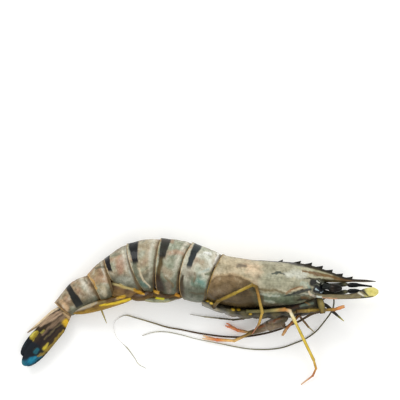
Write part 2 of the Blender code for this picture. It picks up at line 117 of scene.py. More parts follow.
# 1 near a bent line of x, y, half width: distance to its nearest part against the width there
def strokeMask(points, path, soft=0.5):
    mask = np.zeros(points.shape[:-1])
    flat = points[..., :2]
    for start, end in zip(path, path[1:]):
        a = np.array(start[:2])
        way = np.array(end[:2]) - a
        t = np.clip(((flat - a) @ way) / (way @ way), 0, 1)
        away = np.linalg.norm(flat - a - t[..., None] * way, axis=-1)
        width = start[2] + (end[2] - start[2]) * t
        mask = np.maximum(mask, 1 - smoothStep(1 - soft, 1 + soft, away / width))
    return mask


# Linear colour from the usual 0 to 255 numbers
def paint(red, green, blue):
    share = np.array([red, green, blue]) / 255
    return np.where(share <= 0.04045, share / 12.92, ((share + 0.055) / 1.055) ** 2.4)


# Points shaken sideways by irregular fields, so that painted edges wander
def warpedPoints(points, amount, seed, size=5.0):
    shake = [ripple(points, size, seed), ripple(points, size, seed + 1), 0 * points[..., 0]]
    return points + amount * np.stack(shake, axis=-1)


def layer(tone, colour, mask):
    mask = np.asarray(mask)[..., None]
    return tone * (1 - mask) + np.asarray(colour) * mask


# One colour all over, as a start for the next layers
def plainTone(colour, points):
    return np.broadcast_to(paint(*colour), points.shape).copy()


# Colour laid over a tone by a mask: the thing's own colours, and also painted highlights and
# painted shade
def paintOver(tone, colour, mask):
    return layer(tone, paint(*colour), mask)


# Marks painted in turn on a colour: each has a colour, a strength, an edge softness and a bent line
def drawMarks(tone, points, marks):
    for colour, strength, soft, path in marks:
        tone = paintOver(tone, colour, strength * strokeMask(points, path, soft))
    return tone


# Angles once round, as a row
def turnRow(count, start=0.0):
    return np.linspace(start, start + 2 * math.pi, count, endpoint=False)[None, :]


# Height on an oval ring between an upper and a lower edge
def between(top, bottom, turn):
    return (top + bottom) / 2 + (top - bottom) / 2 * np.cos(turn)


# Quads of a grid of points; wrap joins the last column to the first
def gridFaces(rows, columns, wrap):
    r = np.arange(rows - 1)[:, None]
    c = np.arange(columns if wrap else columns - 1)[None, :]
    after = (c + 1) % columns
    quads = [r * columns + c, r * columns + after, (r + 1) * columns + after, (r + 1) * columns + c]
    return np.stack(quads, axis=-1).reshape(-1, 4)


# Closed body through rings: a grid round and along, each end closed by a fan on its middle point
def closedTube(points, tone, grain):
    rows, columns = points.shape[:2]
    quads = gridFaces(rows, columns, True)
    hubs = np.array([points[0].mean(axis=0), points[-1].mean(axis=0)])
    k = np.arange(columns)
    last = (rows - 1) * columns
    first = np.stack([(k + 1) % columns, k, np.full(columns, rows * columns)], axis=1)
    final = np.stack([last + k, last + (k + 1) % columns, np.full(columns, rows * columns + 1)],
        axis=1)
    ends = [0, -1]
    return {
        "points": np.vstack([points.reshape(-1, 3), hubs]),
        "tone": np.vstack([tone.reshape(-1, 3), [tone[e].mean(axis=0) for e in ends]]),
        "grain": np.vstack([grain.reshape(-1, 3), [grain[e].mean(axis=0) for e in ends]]),
        "faces": quads.tolist() + first.tolist() + final.tolist(),
    }


# Thin wall: the outer grid, the inner grid turned back under it, and strips that close both ends
def closedWall(outer, inner, tone, innerTone, grain):
    rows, half = outer.shape[:2]
    columns = 2 * half
    quads = gridFaces(rows, columns, True)
    k = np.arange(half - 1)
    strip = np.stack([k, columns - 1 - k, columns - 2 - k, k + 1], axis=1)
    far = strip[:, ::-1] + (rows - 1) * columns
    pairs = ((outer, inner), (tone, innerTone), (grain, grain))
    both = [np.concatenate([a, b[:, ::-1]], axis=1) for a, b in pairs]
    return {
        "points": both[0].reshape(-1, 3),
        "tone": both[1].reshape(-1, 3),
        "grain": both[2].reshape(-1, 3),
        "faces": quads.tolist() + strip.tolist() + far.tolist(),
    }


def joinShapes(shapes):
    out = {key: np.vstack([shape[key] for shape in shapes]) for key in ("points", "tone", "grain")}
    out["faces"] = []
    start = 0
    for shape in shapes:
        out["faces"] += [[corner + start for corner in face] for face in shape["faces"]]
        start += len(shape["points"])
    return out


# Finished piece: mesh in place, colour and grain kept as attributes, faces turned outwards
def makePiece(name, shape, material, nodes, sharpAngle=50):
    data = bpy.data.meshes.new(name)
    points = shape["points"].copy()
    points[:, 2] = np.maximum(points[:, 2], body["tableClearance"])
    data.from_pydata((points * mm).tolist(), [], shape["faces"])
    tone = data.attributes.new("tone", "FLOAT_COLOR", "POINT")
    colour = np.column_stack([np.clip(shape["tone"], 0, 1), np.ones(len(points))])
    tone.data.foreach_set("color", colour.ravel())
    grain = data.attributes.new("grain", "FLOAT_VECTOR", "POINT")
    grain.data.foreach_set("vector", (shape["grain"] * mm).ravel())
    work = bmesh.new()
    work.from_mesh(data)
    bmesh.ops.recalc_face_normals(work, faces=work.faces)
    work.to_mesh(data)
    work.free()
    data.shade_smooth()
    data.set_sharp_from_angle(angle=math.radians(sharpAngle))
    data.materials.append(material)
    piece = bpy.data.objects.new(name, data)
    bpy.context.scene.collection.objects.link(piece)
    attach(piece, "root")
    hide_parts(*nodes)


# Points moved by a height in mm along the surface's normal, the cross of both grid slopes
def raised(points, height, outwardFrom):
    along = np.gradient(points, axis=0)
    around = np.gradient(points, axis=1)
    normal = np.cross(along, around)
    normal /= np.maximum(np.linalg.norm(normal, axis=-1, keepdims=True), 1e-9)
    side = np.sign(((points - outwardFrom) * normal).sum(axis=-1, keepdims=True))
    return points + normal * side * height[..., None]


# Body surface. Sections hold back x, y, belly x, y, half width, middle z and bow. In the table's
# plane a point is the section's centre plus cos(turn) of the half height, leaning ahead by
# -bow sin^2(turn); across it is the half width times sin(turn), a little fuller on the belly side.
def bodyPoints(sections, turn, size, shift=0.0):
    power = body["fleshExponent"]
    back = sections[..., 0:2]
    belly = sections[..., 2:4]
    centre = (back + belly) / 2
    half = (back - belly) / 2
    ahead = np.stack([half[..., 1], -half[..., 0]], axis=-1)
    ahead /= np.linalg.norm(half, axis=-1)[..., None]
    cos = np.cos(turn)
    sin = np.sin(turn)
    along = np.sign(cos) * np.abs(cos) ** power * size
    across = np.sign(sin) * np.abs(sin) ** power * (1 - body["bellyShare"] * cos) * size
    lean = shift - sections[..., 6] * sin ** 2
    flat = centre + along[..., None] * half + lean[..., None] * ahead
    height = sections[..., 5] + sections[..., 4] * across
    return np.concatenate([flat, height[..., None]], axis=-1)


# Round rod through rows of x, y, z, radius: rings square to the path's own slope
def tubePoints(rows, sides):
    rows = np.asarray(rows, dtype=float)
    path = rows[:, :3]
    way = np.gradient(path, axis=0)
    way /= np.linalg.norm(way, axis=1)[:, None]
    side = np.cross(way, (0.0, 0.0, 1.0))
    side /= np.linalg.norm(side, axis=1)[:, None]
    lift = np.cross(side, way)
    turn = np.linspace(0, 2 * math.pi, sides, endpoint=False)
    ring = np.cos(turn)[:, None] * side[:, None, :] + np.sin(turn)[:, None] * lift[:, None, :]
    return path[:, None, :] + rows[:, 3][:, None, None] * ring, turn


# Distance along a path, from 0
def lengths(path):
    steps = np.linalg.norm(np.diff(np.asarray(path)[:, :3], axis=0), axis=1)
    return np.concatenate([[0.0], np.cumsum(steps)])


# Colours at places from 0 to 1 along a limb, from stops of place and colour
def toneAlong(place, stops):
    places = [stop[0] for stop in stops]
    colours = np.array([paint(*stop[1]) for stop in stops])
    return np.stack([np.interp(place, places, colours[:, k]) for k in range(3)], axis=-1)


print("shape tools ready")


# Shader node group with named inputs and outputs
def newGroup(name, inputs, outputs):
    group = bpy.data.node_groups.new(name, "ShaderNodeTree")
    for label, value in inputs.items():
        kind = "NodeSocketFloat" if isinstance(value, float) else "NodeSocketColor"
        socket = group.interface.new_socket(label, in_out="INPUT", socket_type=kind)
        socket.default_value = value
    for label, kind in outputs.items():
        group.interface.new_socket(label, in_out="OUTPUT", socket_type=kind)
    return group, group.nodes.new("NodeGroupInput"), group.nodes.new("NodeGroupOutput")


def mathNode(tree, operation, first, second):
    node = tree.nodes.new("ShaderNodeMath")
    node.operation = operation
    for socket, value in zip(node.inputs, (first, second)):
        if isinstance(value, float):
            socket.default_value = value
        else:
            tree.links.new(value, socket)
    return node.outputs[0]


def mixNode(tree, factor, first, second, blend="MIX"):
    node = tree.nodes.new("ShaderNodeMix")
    node.data_type = "RGBA"
    node.blend_type = blend
    for index, value in ((0, factor), (6, first), (7, second)):
        if isinstance(value, (float, tuple)):
            node.inputs[index].default_value = value
        else:
            tree.links.new(value, node.inputs[index])
    return node.outputs[2]


def rangeNode(tree, value, low, high, toLow=0.0, toHigh=1.0):
    node = tree.nodes.new("ShaderNodeMapRange")
    node.interpolation_type = "SMOOTHSTEP"
    tree.links.new(value, node.inputs["Value"])
    ends = {"From Min": low, "From Max": high, "To Min": toLow, "To Max": toHigh}
    for label, number in ends.items():
        if isinstance(number, float):
            node.inputs[label].default_value = number
        else:
            tree.links.new(number, node.inputs[label])
    return node.outputs["Result"]


def noiseNode(tree, vector, scale, detail, roughness):
    node = tree.nodes.new("ShaderNodeTexNoise")
    tree.links.new(vector, node.inputs["Vector"])
    if isinstance(scale, float):
        node.inputs["Scale"].default_value = scale
    else:
        tree.links.new(scale, node.inputs["Scale"])
    node.inputs["Detail"].default_value = detail
    node.inputs["Roughness"].default_value = roughness
    return node.outputs["Fac"]


# Mottled chitin: cloudy blotches, pepper specks and fine streaks over a colour, and their relief
def buildChitin():
    inputs = {
        "Tone": (0.5, 0.5, 0.5, 1.0), "Blotch Scale": 170.0, "Blotch Amount": 0.3,
        "Speck Scale": 1500.0,
        "Speck Amount": 0.3, "Streak Amount": 0.2, "Pale": (0.7, 0.68, 0.6, 1.0),
        "Dark": (0.1, 0.09, 0.06, 1.0),
    }
    outputs = {"Color": "NodeSocketColor", "Height": "NodeSocketFloat",
        "Wetness": "NodeSocketFloat"}
    group, source, sink = newGroup("chitinMottle", inputs, outputs)
    place = group.nodes.new("ShaderNodeTexCoord").outputs["Object"]
    grain = group.nodes.new("ShaderNodeAttribute")
    grain.attribute_name = "grain"
    stretch = group.nodes.new("ShaderNodeMapping")
    group.links.new(grain.outputs["Vector"], stretch.inputs["Vector"])
    stretch.inputs["Scale"].default_value = (260.0, 1700.0, 300.0)
    cloud = noiseNode(group, place, source.outputs["Blotch Scale"], 4.0, 0.6)
    speck = noiseNode(group, place, source.outputs["Speck Scale"], 2.0, 0.5)
    streak = noiseNode(group, stretch.outputs["Vector"], 1.0, 2.0, 0.5)
    grey = group.nodes.new("ShaderNodeRGBToBW")
    group.links.new(source.outputs["Tone"], grey.inputs["Color"])
    lightness = rangeNode(group, grey.outputs["Val"], 0.04, 0.3)
    paleShare = mathNode(group, "MULTIPLY", rangeNode(group, cloud, 0.5, 0.68),
        source.outputs["Blotch Amount"])
    paleShare = mathNode(group, "MULTIPLY", paleShare, lightness)
    darkShare = mathNode(group, "MULTIPLY", rangeNode(group, cloud, 0.5, 0.32),
        source.outputs["Blotch Amount"])
    colour = mixNode(group, paleShare, source.outputs["Tone"], source.outputs["Pale"])
    colour = mixNode(group, darkShare, colour, source.outputs["Dark"], "MULTIPLY")
    speckShare = mathNode(group, "MULTIPLY", rangeNode(group, speck, 0.56, 0.7),
        source.outputs["Speck Amount"])
    colour = mixNode(group, speckShare, colour, source.outputs["Dark"], "MULTIPLY")
    streakShare = mathNode(group, "MULTIPLY", rangeNode(group, streak, 0.45, 0.75),
        source.outputs["Streak Amount"])
    colour = mixNode(group, streakShare, colour, source.outputs["Dark"], "MULTIPLY")
    group.links.new(colour, sink.inputs["Color"])
    height = mathNode(group, "MULTIPLY", cloud, 0.5)
    height = mathNode(group, "ADD", height, mathNode(group, "MULTIPLY", speck, 0.25))
    height = mathNode(group, "SUBTRACT", height, mathNode(group, "MULTIPLY", streak, 0.18))
    group.links.new(height, sink.inputs["Height"])
    group.links.new(cloud, sink.inputs["Wetness"])
    return group


chitinMottle = buildChitin()


# One skin for each finish: the piece's own colours, mottled, under a wet coat
def makeSkin(name, look):
    material = bpy.data.materials.new(name)
    material.use_nodes = True
    tree = material.node_tree
    shader = tree.nodes["Principled BSDF"]
    tone = tree.nodes.new("ShaderNodeAttribute")
    tone.attribute_name = "tone"
    mottle = tree.nodes.new("ShaderNodeGroup")
    mottle.node_tree = chitinMottle
    tree.links.new(tone.outputs["Color"], mottle.inputs["Tone"])
    for label in ("Blotch Scale", "Blotch Amount", "Speck Scale", "Speck Amount", "Streak Amount"):
        mottle.inputs[label].default_value = look[label]
    mottle.inputs["Pale"].default_value = (*paint(*look["pale"]), 1.0)
    mottle.inputs["Dark"].default_value = (*paint(*look["dark"]), 1.0)
    tree.links.new(mottle.outputs["Color"], shader.inputs["Base Color"])
    low, high = look["roughness"]
    tree.links.new(rangeNode(tree, mottle.outputs["Wetness"], 0.3, 0.7, low, high),
        shader.inputs["Roughness"])
    bump = tree.nodes.new("ShaderNodeBump")
    bump.inputs["Strength"].default_value = look["bump"]
    bump.inputs["Distance"].default_value = look["relief"] * mm
    tree.links.new(mottle.outputs["Height"], bump.inputs["Height"])
    tree.links.new(bump.outputs["Normal"], shader.inputs["Normal"])
    shader.inputs["Coat Weight"].default_value = look["coat"]
    shader.inputs["Coat Roughness"].default_value = look["coatRoughness"]
    shader.inputs["Specular IOR Level"].default_value = look["shine"]
    return material


skins = {
    "plateSkin": {
        "Blotch Scale": 330.0, "Blotch Amount": 0.42, "Speck Scale": 1300.0, "Speck Amount": 0.34,
        "Streak Amount": 0.22, "pale": (206, 204, 186), "dark": (142, 134, 110),
        "roughness": (0.36, 0.56), "bump": 0.6, "relief": 0.5, "coat": 0.16, "coatRoughness": 0.14,
        "shine": 0.16,
    },
    "headSkin": {
        "Blotch Scale": 240.0, "Blotch Amount": 0.42, "Speck Scale": 1100.0, "Speck Amount": 0.3,
        "Streak Amount": 0.3, "pale": (208, 200, 172), "dark": (140, 130, 104),
        "roughness": (0.36, 0.56), "bump": 0.6, "relief": 0.5, "coat": 0.16, "coatRoughness": 0.14,
        "shine": 0.16,
    },
    "tailSkin": {
        "Blotch Scale": 260.0, "Blotch Amount": 0.22, "Speck Scale": 1600.0, "Speck Amount": 0.28,
        "Streak Amount": 0.5, "pale": (150, 132, 96), "dark": (92, 82, 70),
        "roughness": (0.26, 0.45), "bump": 0.6, "relief": 0.4, "coat": 0.2, "coatRoughness": 0.14,
        "shine": 0.16,
    },
    "limbSkin": {
        "Blotch Scale": 330.0, "Blotch Amount": 0.26, "Speck Scale": 2200.0, "Speck Amount": 0.2,
        "Streak Amount": 0.2, "pale": (236, 214, 130), "dark": (130, 110, 84),
        "roughness": (0.3, 0.45), "bump": 0.35, "relief": 0.25, "coat": 0.2, "coatRoughness": 0.14,
        "shine": 0.16,
    },
    "swimmerSkin": {
        "Blotch Scale": 260.0, "Blotch Amount": 0.4, "Speck Scale": 1700.0, "Speck Amount": 0.3,
        "Streak Amount": 0.4, "pale": (190, 158, 74), "dark": (130, 120, 100),
        "roughness": (0.35, 0.55), "bump": 0.5, "relief": 0.4, "coat": 0.16, "coatRoughness": 0.2,
        "shine": 0.16,
    },
    "eyeSkin": {
        "Blotch Scale": 500.0, "Blotch Amount": 0.25, "Speck Scale": 3800.0, "Speck Amount": 0.5,
        "Streak Amount": 0.0, "pale": (92, 74, 52), "dark": (80, 80, 80),
        "roughness": (0.3, 0.4), "bump": 0.3, "relief": 0.12, "coat": 0.12, "coatRoughness": 0.06,
        "shine": 0.12,
    },
}
skin = {name: makeSkin(name, look) for name, look in skins.items()}
print("skins ready")


# Abdomen: six overlapping plates round the flesh.
# sections: from rear to front of each plate, back x, y, belly x, y, half width, bow.
# bands: middle and half width of the dark band along the plate, its reach down, its strength.
abdomen = {
    "sections": [
        [(-3.4, 35.9, -9.9, 6.9, 12.2, 3.0), (4.2, 33.1, -3.6, 5.1, 12.2, 2.3),
         (11.7, 30.2, 2.6, 4.4, 12.0, 1.6)],
        [(-20.0, 38.2, -22.4, 9.1, 11.7, 1.5), (-11.4, 37.5, -17.2, 8.1, 12.0, 2.2),
         (-3.4, 35.9, -10.9, 7.8, 12.1, 3.0)],
        [(-37.6, 35.4, -28.6, 10.1, 10.5, 2.0), (-29.1, 37.6, -26.3, 9.6, 11.1, 1.8),
         (-20.0, 38.2, -23.4, 9.9, 11.5, 1.5)],
        [(-49.7, 27.6, -45.0, 14.8, 8.7, 0.5), (-43.7, 32.0, -37.4, 12.2, 9.6, 1.2),
         (-37.6, 35.4, -29.4, 9.9, 10.3, 2.0)],
        [(-58.6, 19.4, -51.1, 4.7, 6.7, -0.5), (-54.1, 24.2, -47.8, 5.7, 7.6, 0.0),
         (-49.7, 27.6, -44.4, 7.8, 8.4, 0.5)],
        [(-75.4, 5.2, -66.7, -2.3, 4.6, 0.2), (-67.6, 14.6, -59.3, 1.6, 5.6, 0.0),
         (-58.6, 19.4, -51.1, 5.2, 6.4, -0.5)],
    ],
    "bands": [
        (0.15, 0.130, 0.47, 0.97),
        (0.125, 0.150, 0.42, 0.94),
        (0.165, 0.165, 0.45, 1.0),
        (0.09, 0.125, 0.50, 1.0),
        (0.80, 0.160, 0.24, 0.4),
        (0.425, 0.090, 0.70, 0.97),
    ],
    "bandNarrowing": [0.35, 0.15, 0.3, 0.3, 0.3, 0.0],
    "bandLean": [0.05, 0.05, 0.035, 0.0, 0.0, -0.035],
    "bandTones": [(28, 38, 42), (20, 20, 14), (2, 3, 4), (6, 3, 4), (70, 66, 44), (16, 20, 20)],
    "tones": [(184, 182, 162), (146, 148, 126), (160, 148, 122), (156, 142, 116), (152, 132, 100),
        (146, 126, 98)],
    "rows": 56,
    "columns": 150,
    "wrap": 0.95,
    "rearLip": -0.045,
    "frontTuck": 1.14,
    "lobePower": 7.0,
    "lobes": [0.34, 0.42, 0.46, 0.36, 0.22, 0.10],
    "pivot": 0.45,
    "thickness": 0.45,
    "lipRise": 0.014,
    "tuckDepth": 0.05,
    "keelRise": 0.018,
    "waviness": 0.10,
    "grooveDepth": 0.16,
    "fleshGrid": (24, 72),
    "fleshShare": 0.95,
    "flesh": (74, 54, 28),
    "fleshShade": (44, 32, 18),
    "lowEdgeTones": [(96, 78, 44), (96, 78, 44), (196, 168, 92), (196, 168, 92), (96, 78, 44),
        (96, 78, 44)],
    "lipTone": (186, 148, 84),
    "paleTone": (208, 204, 186),
    "seamTone": (92, 70, 34),
    "lowTone": (70, 76, 60),
    "pinkTone": (172, 134, 108),
    "greenTone": (142, 154, 134),
}

# Marks on the plates and the belly, painted highlights and painted shade among them: colour,
# strength, softness, then x, y, half width along a line
plateMarks = [
    ((190, 178, 148), 0.75, 0.8, [(-50.4, 12.0, 1.4), (-49.2, 9.2, 1.2)]),
    ((124, 104, 74), 0.5, 0.7, [(-53.4, 21.4, 1.0), (-51.0, 19.6, 0.9)]),
    ((134, 138, 116), 0.5, 0.9, [(-14.8, 24.0, 1.6), (-14.4, 19.6, 1.6)]),
    ((170, 170, 152), 0.4, 0.9, [(-39.8, 18.4, 1.4), (-39.2, 15.4, 1.4)]),
    ((90, 120, 104), 0.5, 0.8, [(-0.8, 18.4, 1.6), (0.4, 14.8, 1.4)]),
    ((150, 122, 94), 0.8, 0.6, [(-20.0, 37.4, 0.8), (-14.6, 37.0, 0.9)]),
    # Painted shade: the next three dark brown marks fill the hollows where the second plate meets
    # the third and the first
    ((78, 62, 26), 0.95, 0.5, [(-19.8, 29.4, 1.5), (-21.3, 22.0, 0.9), (-21.7, 18.6, 1.0)]),
    ((46, 30, 12), 0.95, 0.6, [(-21.9, 18.6, 1.4), (-21.7, 14.6, 3.3), (-20.8, 11.4, 3.0)]),
    ((56, 42, 18), 0.95, 0.6, [(-9.0, 19.0, 0.6), (-10.0, 13.4, 1.8), (-10.4, 9.6, 2.5)]),
    ((92, 100, 82), 0.8, 0.5, [(-34.2, 25.4, 1.2), (-33.0, 18.6, 1.3), (-30.2, 14.2, 1.3)]),
    ((84, 112, 100), 0.7, 0.6, [(-30.2, 15.6, 1.2), (-27.8, 13.2, 1.1)]),
    ((204, 188, 156), 0.75, 0.5, [(-31.8, 22.6, 0.35), (-29.4, 17.0, 0.5), (-25.6, 12.6, 0.4)]),
    ((172, 126, 104), 0.55, 0.8, [(-41.6, 29.0, 1.2), (-41.2, 24.8, 2.2), (-41.0, 21.0, 1.4)]),
    ((98, 98, 78), 0.6, 0.7, [(-45.4, 29.2, 0.5), (-42.8, 31.6, 1.2), (-39.6, 33.4, 0.8)]),
    # Painted highlight: pale strip along the front of the fourth plate
    ((184, 188, 176), 0.7, 0.6, [(-38.6, 33.4, 0.7), (-37.0, 26.0, 1.0), (-35.0, 18.6, 0.8)]),
    ((138, 140, 124), 0.7, 0.7, [(-41.6, 16.6, 1.6), (-35.0, 16.4, 1.8)]),
    ((156, 158, 138), 0.6, 0.7, [(-24.6, 33.0, 1.0), (-24.2, 27.0, 1.6), (-24.6, 21.6, 1.2)]),
    ((176, 136, 110), 0.6, 0.7, [(-15.6, 30.4, 0.9), (-12.0, 31.2, 1.1), (-8.6, 30.4, 0.7)]),
    ((124, 156, 146), 0.6, 0.7, [(-9.6, 27.0, 0.6), (-9.9, 23.6, 0.6)]),
    ((168, 148, 122), 0.6, 0.7, [(-18.6, 22.4, 1.6), (-15.6, 19.6, 2.0)]),
    ((116, 92, 60), 0.65, 0.6, [(-18.2, 18.6, 0.5), (-15.8, 16.2, 0.7), (-14.2, 13.8, 0.4)]),
    ((120, 106, 88), 0.75, 0.6, [(-16.6, 14.6, 1.4), (-15.8, 11.4, 1.3)]),
    # Painted highlights: the next three marks are the white patch and white glints on the first
    # plate's top and front edge
    ((222, 224, 212), 0.75, 0.7, [(-0.6, 29.4, 1.2), (2.8, 29.6, 1.4), (5.0, 27.0, 0.9),
     (6.0, 23.4, 0.7)]),
    ((250, 250, 244), 0.85, 0.6, [(9.4, 30.4, 0.6), (8.7, 27.6, 0.75), (7.6, 24.8, 0.5)]),
    ((240, 242, 238), 0.8, 0.6, [(2.2, 31.2, 0.5), (5.4, 30.2, 0.6)]),
    ((152, 136, 106), 0.5, 0.7, [(0.6, 25.6, 1.2), (2.6, 24.6, 1.3)]),
    ((150, 140, 122), 0.7, 0.7, [(-6.8, 21.4, 1.8), (-5.0, 18.6, 1.9)]),
    # Painted highlight: light blue glints on the first plate
    ((164, 184, 178), 0.6, 0.6, [(0.0, 21.0, 0.6), (3.8, 22.2, 0.9)]),
    ((80, 90, 56), 0.75, 0.6, [(3.0, 19.6, 0.5), (5.4, 20.2, 1.0), (7.2, 20.8, 0.5)]),
    ((98, 138, 126), 0.8, 0.7, [(-3.2, 15.8, 1.8), (1.2, 14.6, 2.4)]),
    ((96, 104, 84), 0.75, 0.8, [(-4.6, 17.6, 1.2), (-2.0, 14.0, 1.6), (1.6, 12.0, 1.4)]),
    ((112, 96, 70), 0.7, 0.6, [(-2.6, 19.6, 0.7), (-3.0, 17.0, 0.9)]),
    ((82, 86, 68), 0.8, 0.7, [(-5.8, 11.0, 1.6), (-1.0, 9.6, 2.2), (2.6, 9.8, 2.0)]),
    ((78, 60, 34), 0.55, 0.6, [(-5.6, 10.0, 0.35), (1.4, 9.8, 0.4)]),
    ((66, 68, 50), 0.75, 0.5, [(-54.8, 22.8, 0.5), (-52.2, 23.4, 1.0), (-49.4, 23.2, 0.7)]),
    ((196, 148, 66), 0.7, 0.5, [(-58.2, 19.6, 1.0), (-56.4, 16.6, 0.6), (-53.8, 12.0, 0.35)]),
    ((176, 140, 112), 0.5, 0.7, [(-50.8, 19.0, 1.6), (-49.8, 16.4, 2.0)]),
    ((86, 78, 54), 0.6, 0.5, [(-60.4, 18.4, 0.35), (-59.0, 15.0, 0.6)]),
    ((208, 172, 132), 0.7, 0.6, [(-72.0, 5.4, 1.1), (-69.6, 1.6, 1.5)]),
]

# Marks that the swimming legs carry too
bellyMarks = [
    ((84, 54, 26), 0.85, 0.5, [(-75.0, 4.6, 0.5), (-71.6, 1.0, 0.6), (-67.0, -2.4, 0.5)]),
    ((196, 180, 122), 0.85, 0.4, [(-45.6, 14.9, 0.6), (-38.6, 13.0, 0.7), (-33.6, 11.3, 0.5)]),
    ((212, 160, 40), 0.95, 0.4, [(-34.0, 11.4, 0.6), (-31.4, 10.4, 0.9), (-29.0, 9.2, 0.4)]),
    ((214, 162, 44), 0.95, 0.4, [(-23.4, 10.8, 0.7), (-21.8, 10.2, 0.8)]),
    ((206, 200, 44), 0.95, 0.4, [(-22.6, 7.3, 0.5), (-19.0, 6.9, 0.55)]),
    ((206, 144, 36), 0.95, 0.4, [(-12.4, 9.2, 0.8), (-10.8, 8.4, 0.6)]),
    ((206, 164, 40), 0.9, 0.4, [(-43.0, 7.2, 0.6), (-39.4, 8.2, 0.8)]),
    ((222, 190, 40), 0.95, 0.4, [(-52.0, 3.4, 0.4), (-44.0, 4.6, 0.6), (-36.6, 6.6, 0.7)]),
]


# The plate rests on the table, so its middle lies its half width up, less the flat spot
def plateSections(number):
    return [(*r[:5], r[4] - body["flatSink"], r[5]) for r in abdomen["sections"][number]]


# Rear edge of a plate: the lip, drawn in near the lower ends
def rearOf(v, number):
    shrink = 1 - abdomen["lobes"][number] * np.abs(v) ** abdomen["lobePower"]
    return abdomen["pivot"] + (abdomen["rearLip"] - abdomen["pivot"]) * shrink


# Plate: s runs from rear to front, v from one lower edge over the back to the other. The edges draw
# in near the lower ends (1 - lobe |v|^7), the front tucks under the plate ahead and the rear lip
# stands proud.
def platePiece(number):
    sections = plateSections(number)
    rows = abdomen["rows"]
    columns = abdomen["columns"]
    along = np.linspace(0, 1, rows)[:, None]
    v = np.linspace(-1, 1, columns)[None, :]
    shrink = 1 - abdomen["lobes"][number] * np.abs(v) ** abdomen["lobePower"]
    rear = rearOf(v, number)
    front = abdomen["pivot"] + (abdomen["frontTuck"] - abdomen["pivot"]) * shrink
    s = rear + (front - rear) * along
    turn = v * abdomen["wrap"] * math.pi + 0 * s
    read = rowsAt(sections, s * (len(sections) - 1))
    lip = abdomen["lipRise"] * np.clip(1 - s / 0.22, 0, 1.2)
    tuck = abdomen["tuckDepth"] * np.clip((s - 0.74) / 0.26, 0, 1.4) ** 1.4
    keel = abdomen["keelRise"] * (number > 2) * np.exp(-(turn / 0.16) ** 2)
    size = 1.0 + lip - tuck + keel
    outer = bodyPoints(read, turn, size, 0.25 - 0.5 * s)
    centre = outer.mean(axis=1, keepdims=True)
    groove = np.exp(-((s - 0.63) / 0.05) ** 2) * smoothStep(0.75, 0.2, np.abs(v))
    height = abdomen["waviness"] * ripple(outer, 7.0, 10 + number) - abdomen["grooveDepth"] * groove
    outer = raised(outer, height, centre)
    rim = np.clip(np.minimum(along * rows, 4) / 4, 0.35, 1) * np.clip((1 - np.abs(v)) * 28, 0.4, 1)
    inner = raised(outer, -abdomen["thickness"] * rim, centre)
    tone = plateTone(number, outer, s, turn, v)
    across = turn * 12.0
    grain = np.stack([across, s * 17.0, 0 * s], axis=-1)
    # Painted shade: the inner face of the shell carries the outer colours darkened to 0.45
    wall = closedWall(outer, inner, tone, tone * 0.45, grain)
    ring = turnRow(abdomen["fleshGrid"][1], -math.pi)
    t = np.linspace(-0.01, 1.01, abdomen["fleshGrid"][0])[:, None]
    fleshRows = rowsAt(sections, (t + 0 * ring) * (len(sections) - 1))
    core = bodyPoints(fleshRows, ring + 0 * t, np.full(abdomen["fleshGrid"], abdomen["fleshShare"]))
    shade = 0.5 + 0.5 * np.clip(ripple(core, 5.0, 30 + number), -1, 1)
    fleshTone = paintOver(plainTone(abdomen["flesh"], core), abdomen["fleshShade"], shade)
    fleshTone = drawMarks(fleshTone, core, plateMarks + bellyMarks)
    fleshGrain = np.stack([ring * 12.0 + 0 * t, t * 17.0 + 0 * ring, 0 * t + 0 * ring], axis=-1)
    shape = joinShapes([wall, closedTube(core, fleshTone, fleshGrain)])
    name = f"tailPlate{number + 1}"
    makePiece(name, shape, skin["plateSkin"], [f"abdomen_{number + 1}"])


def plateTone(number, points, s, turn, v):
    tone = plainTone(abdomen["tones"][number], points)
    side = np.abs(turn) / math.pi
    soft = ripple(points, 6.0, 40 + number)
    fine = ripple(points, 2.2, 50 + number)
    upper = smoothStep(0.7, 0.3, side)
    tone = paintOver(tone, abdomen["pinkTone"], 0.5 * smoothStep(0.1, 0.9, soft) * upper)
    tone = paintOver(tone, abdomen["greenTone"], 0.5 * smoothStep(-0.1, -0.9, soft))
    tone = paintOver(tone, abdomen["lowTone"], 0.8 * smoothStep(0.44, 0.72, side + 0.06 * soft))
    # Painted highlight: a pale band across each plate's upper part just behind its front edge
    pale = np.exp(-((s - 0.80) / 0.07) ** 2) * smoothStep(0.66, 0.4, side)
    tone = paintOver(tone, abdomen["paleTone"], 0.85 * pale)
    tone = tone * (1 + 0.16 * fine + 0.10 * ripple(points, 1.1, 60 + number))[..., None]
    tone = drawMarks(tone, warpedPoints(points, 0.5, 54), plateMarks + bellyMarks)
    middle, half, reach, strength = abdomen["bands"][number]
    narrowing = abdomen["bandNarrowing"][number]
    widthHere = half * (1.0 - narrowing * smoothStep(reach * 0.2, reach, side)) + 0.014 * fine
    if number == 5:
        widthHere = half * (0.8 + 0.45 * smoothStep(0.3, 0.6, side)) + 0.008 * fine
    middle = middle + abdomen["bandLean"][number] * side / reach
    band = 1 - smoothStep(widthHere * 0.85, widthHere * 1.15, np.abs(s - middle))
    band = band * smoothStep(reach + 0.03, reach - 0.03, side + 0.012 * soft)
    tone = paintOver(tone, abdomen["bandTones"][number], strength * band)
    rearEdge = smoothStep(0.035, 0.0, s - rearOf(v, number))
    tone = paintOver(tone, abdomen["lipTone"], 0.75 * rearEdge * (1 - 0.4 * band))
    seam = smoothStep(0.90, 0.97, s)
    tone = paintOver(tone, abdomen["seamTone"], 0.8 * seam)
    crest = smoothStep(0.10, 0.03, side + 0.02 * soft) * (0.6 if number > 2 else 0.3) * (1 - band)
    tone = paintOver(tone, abdomen["seamTone"], crest)
    lowEdge = smoothStep(0.955, 0.99, np.abs(v))
    return paintOver(tone, abdomen["lowEdgeTones"][number], 0.75 * lowEdge)


for number in range(6):
    platePiece(number)
print("abdomen plates made")


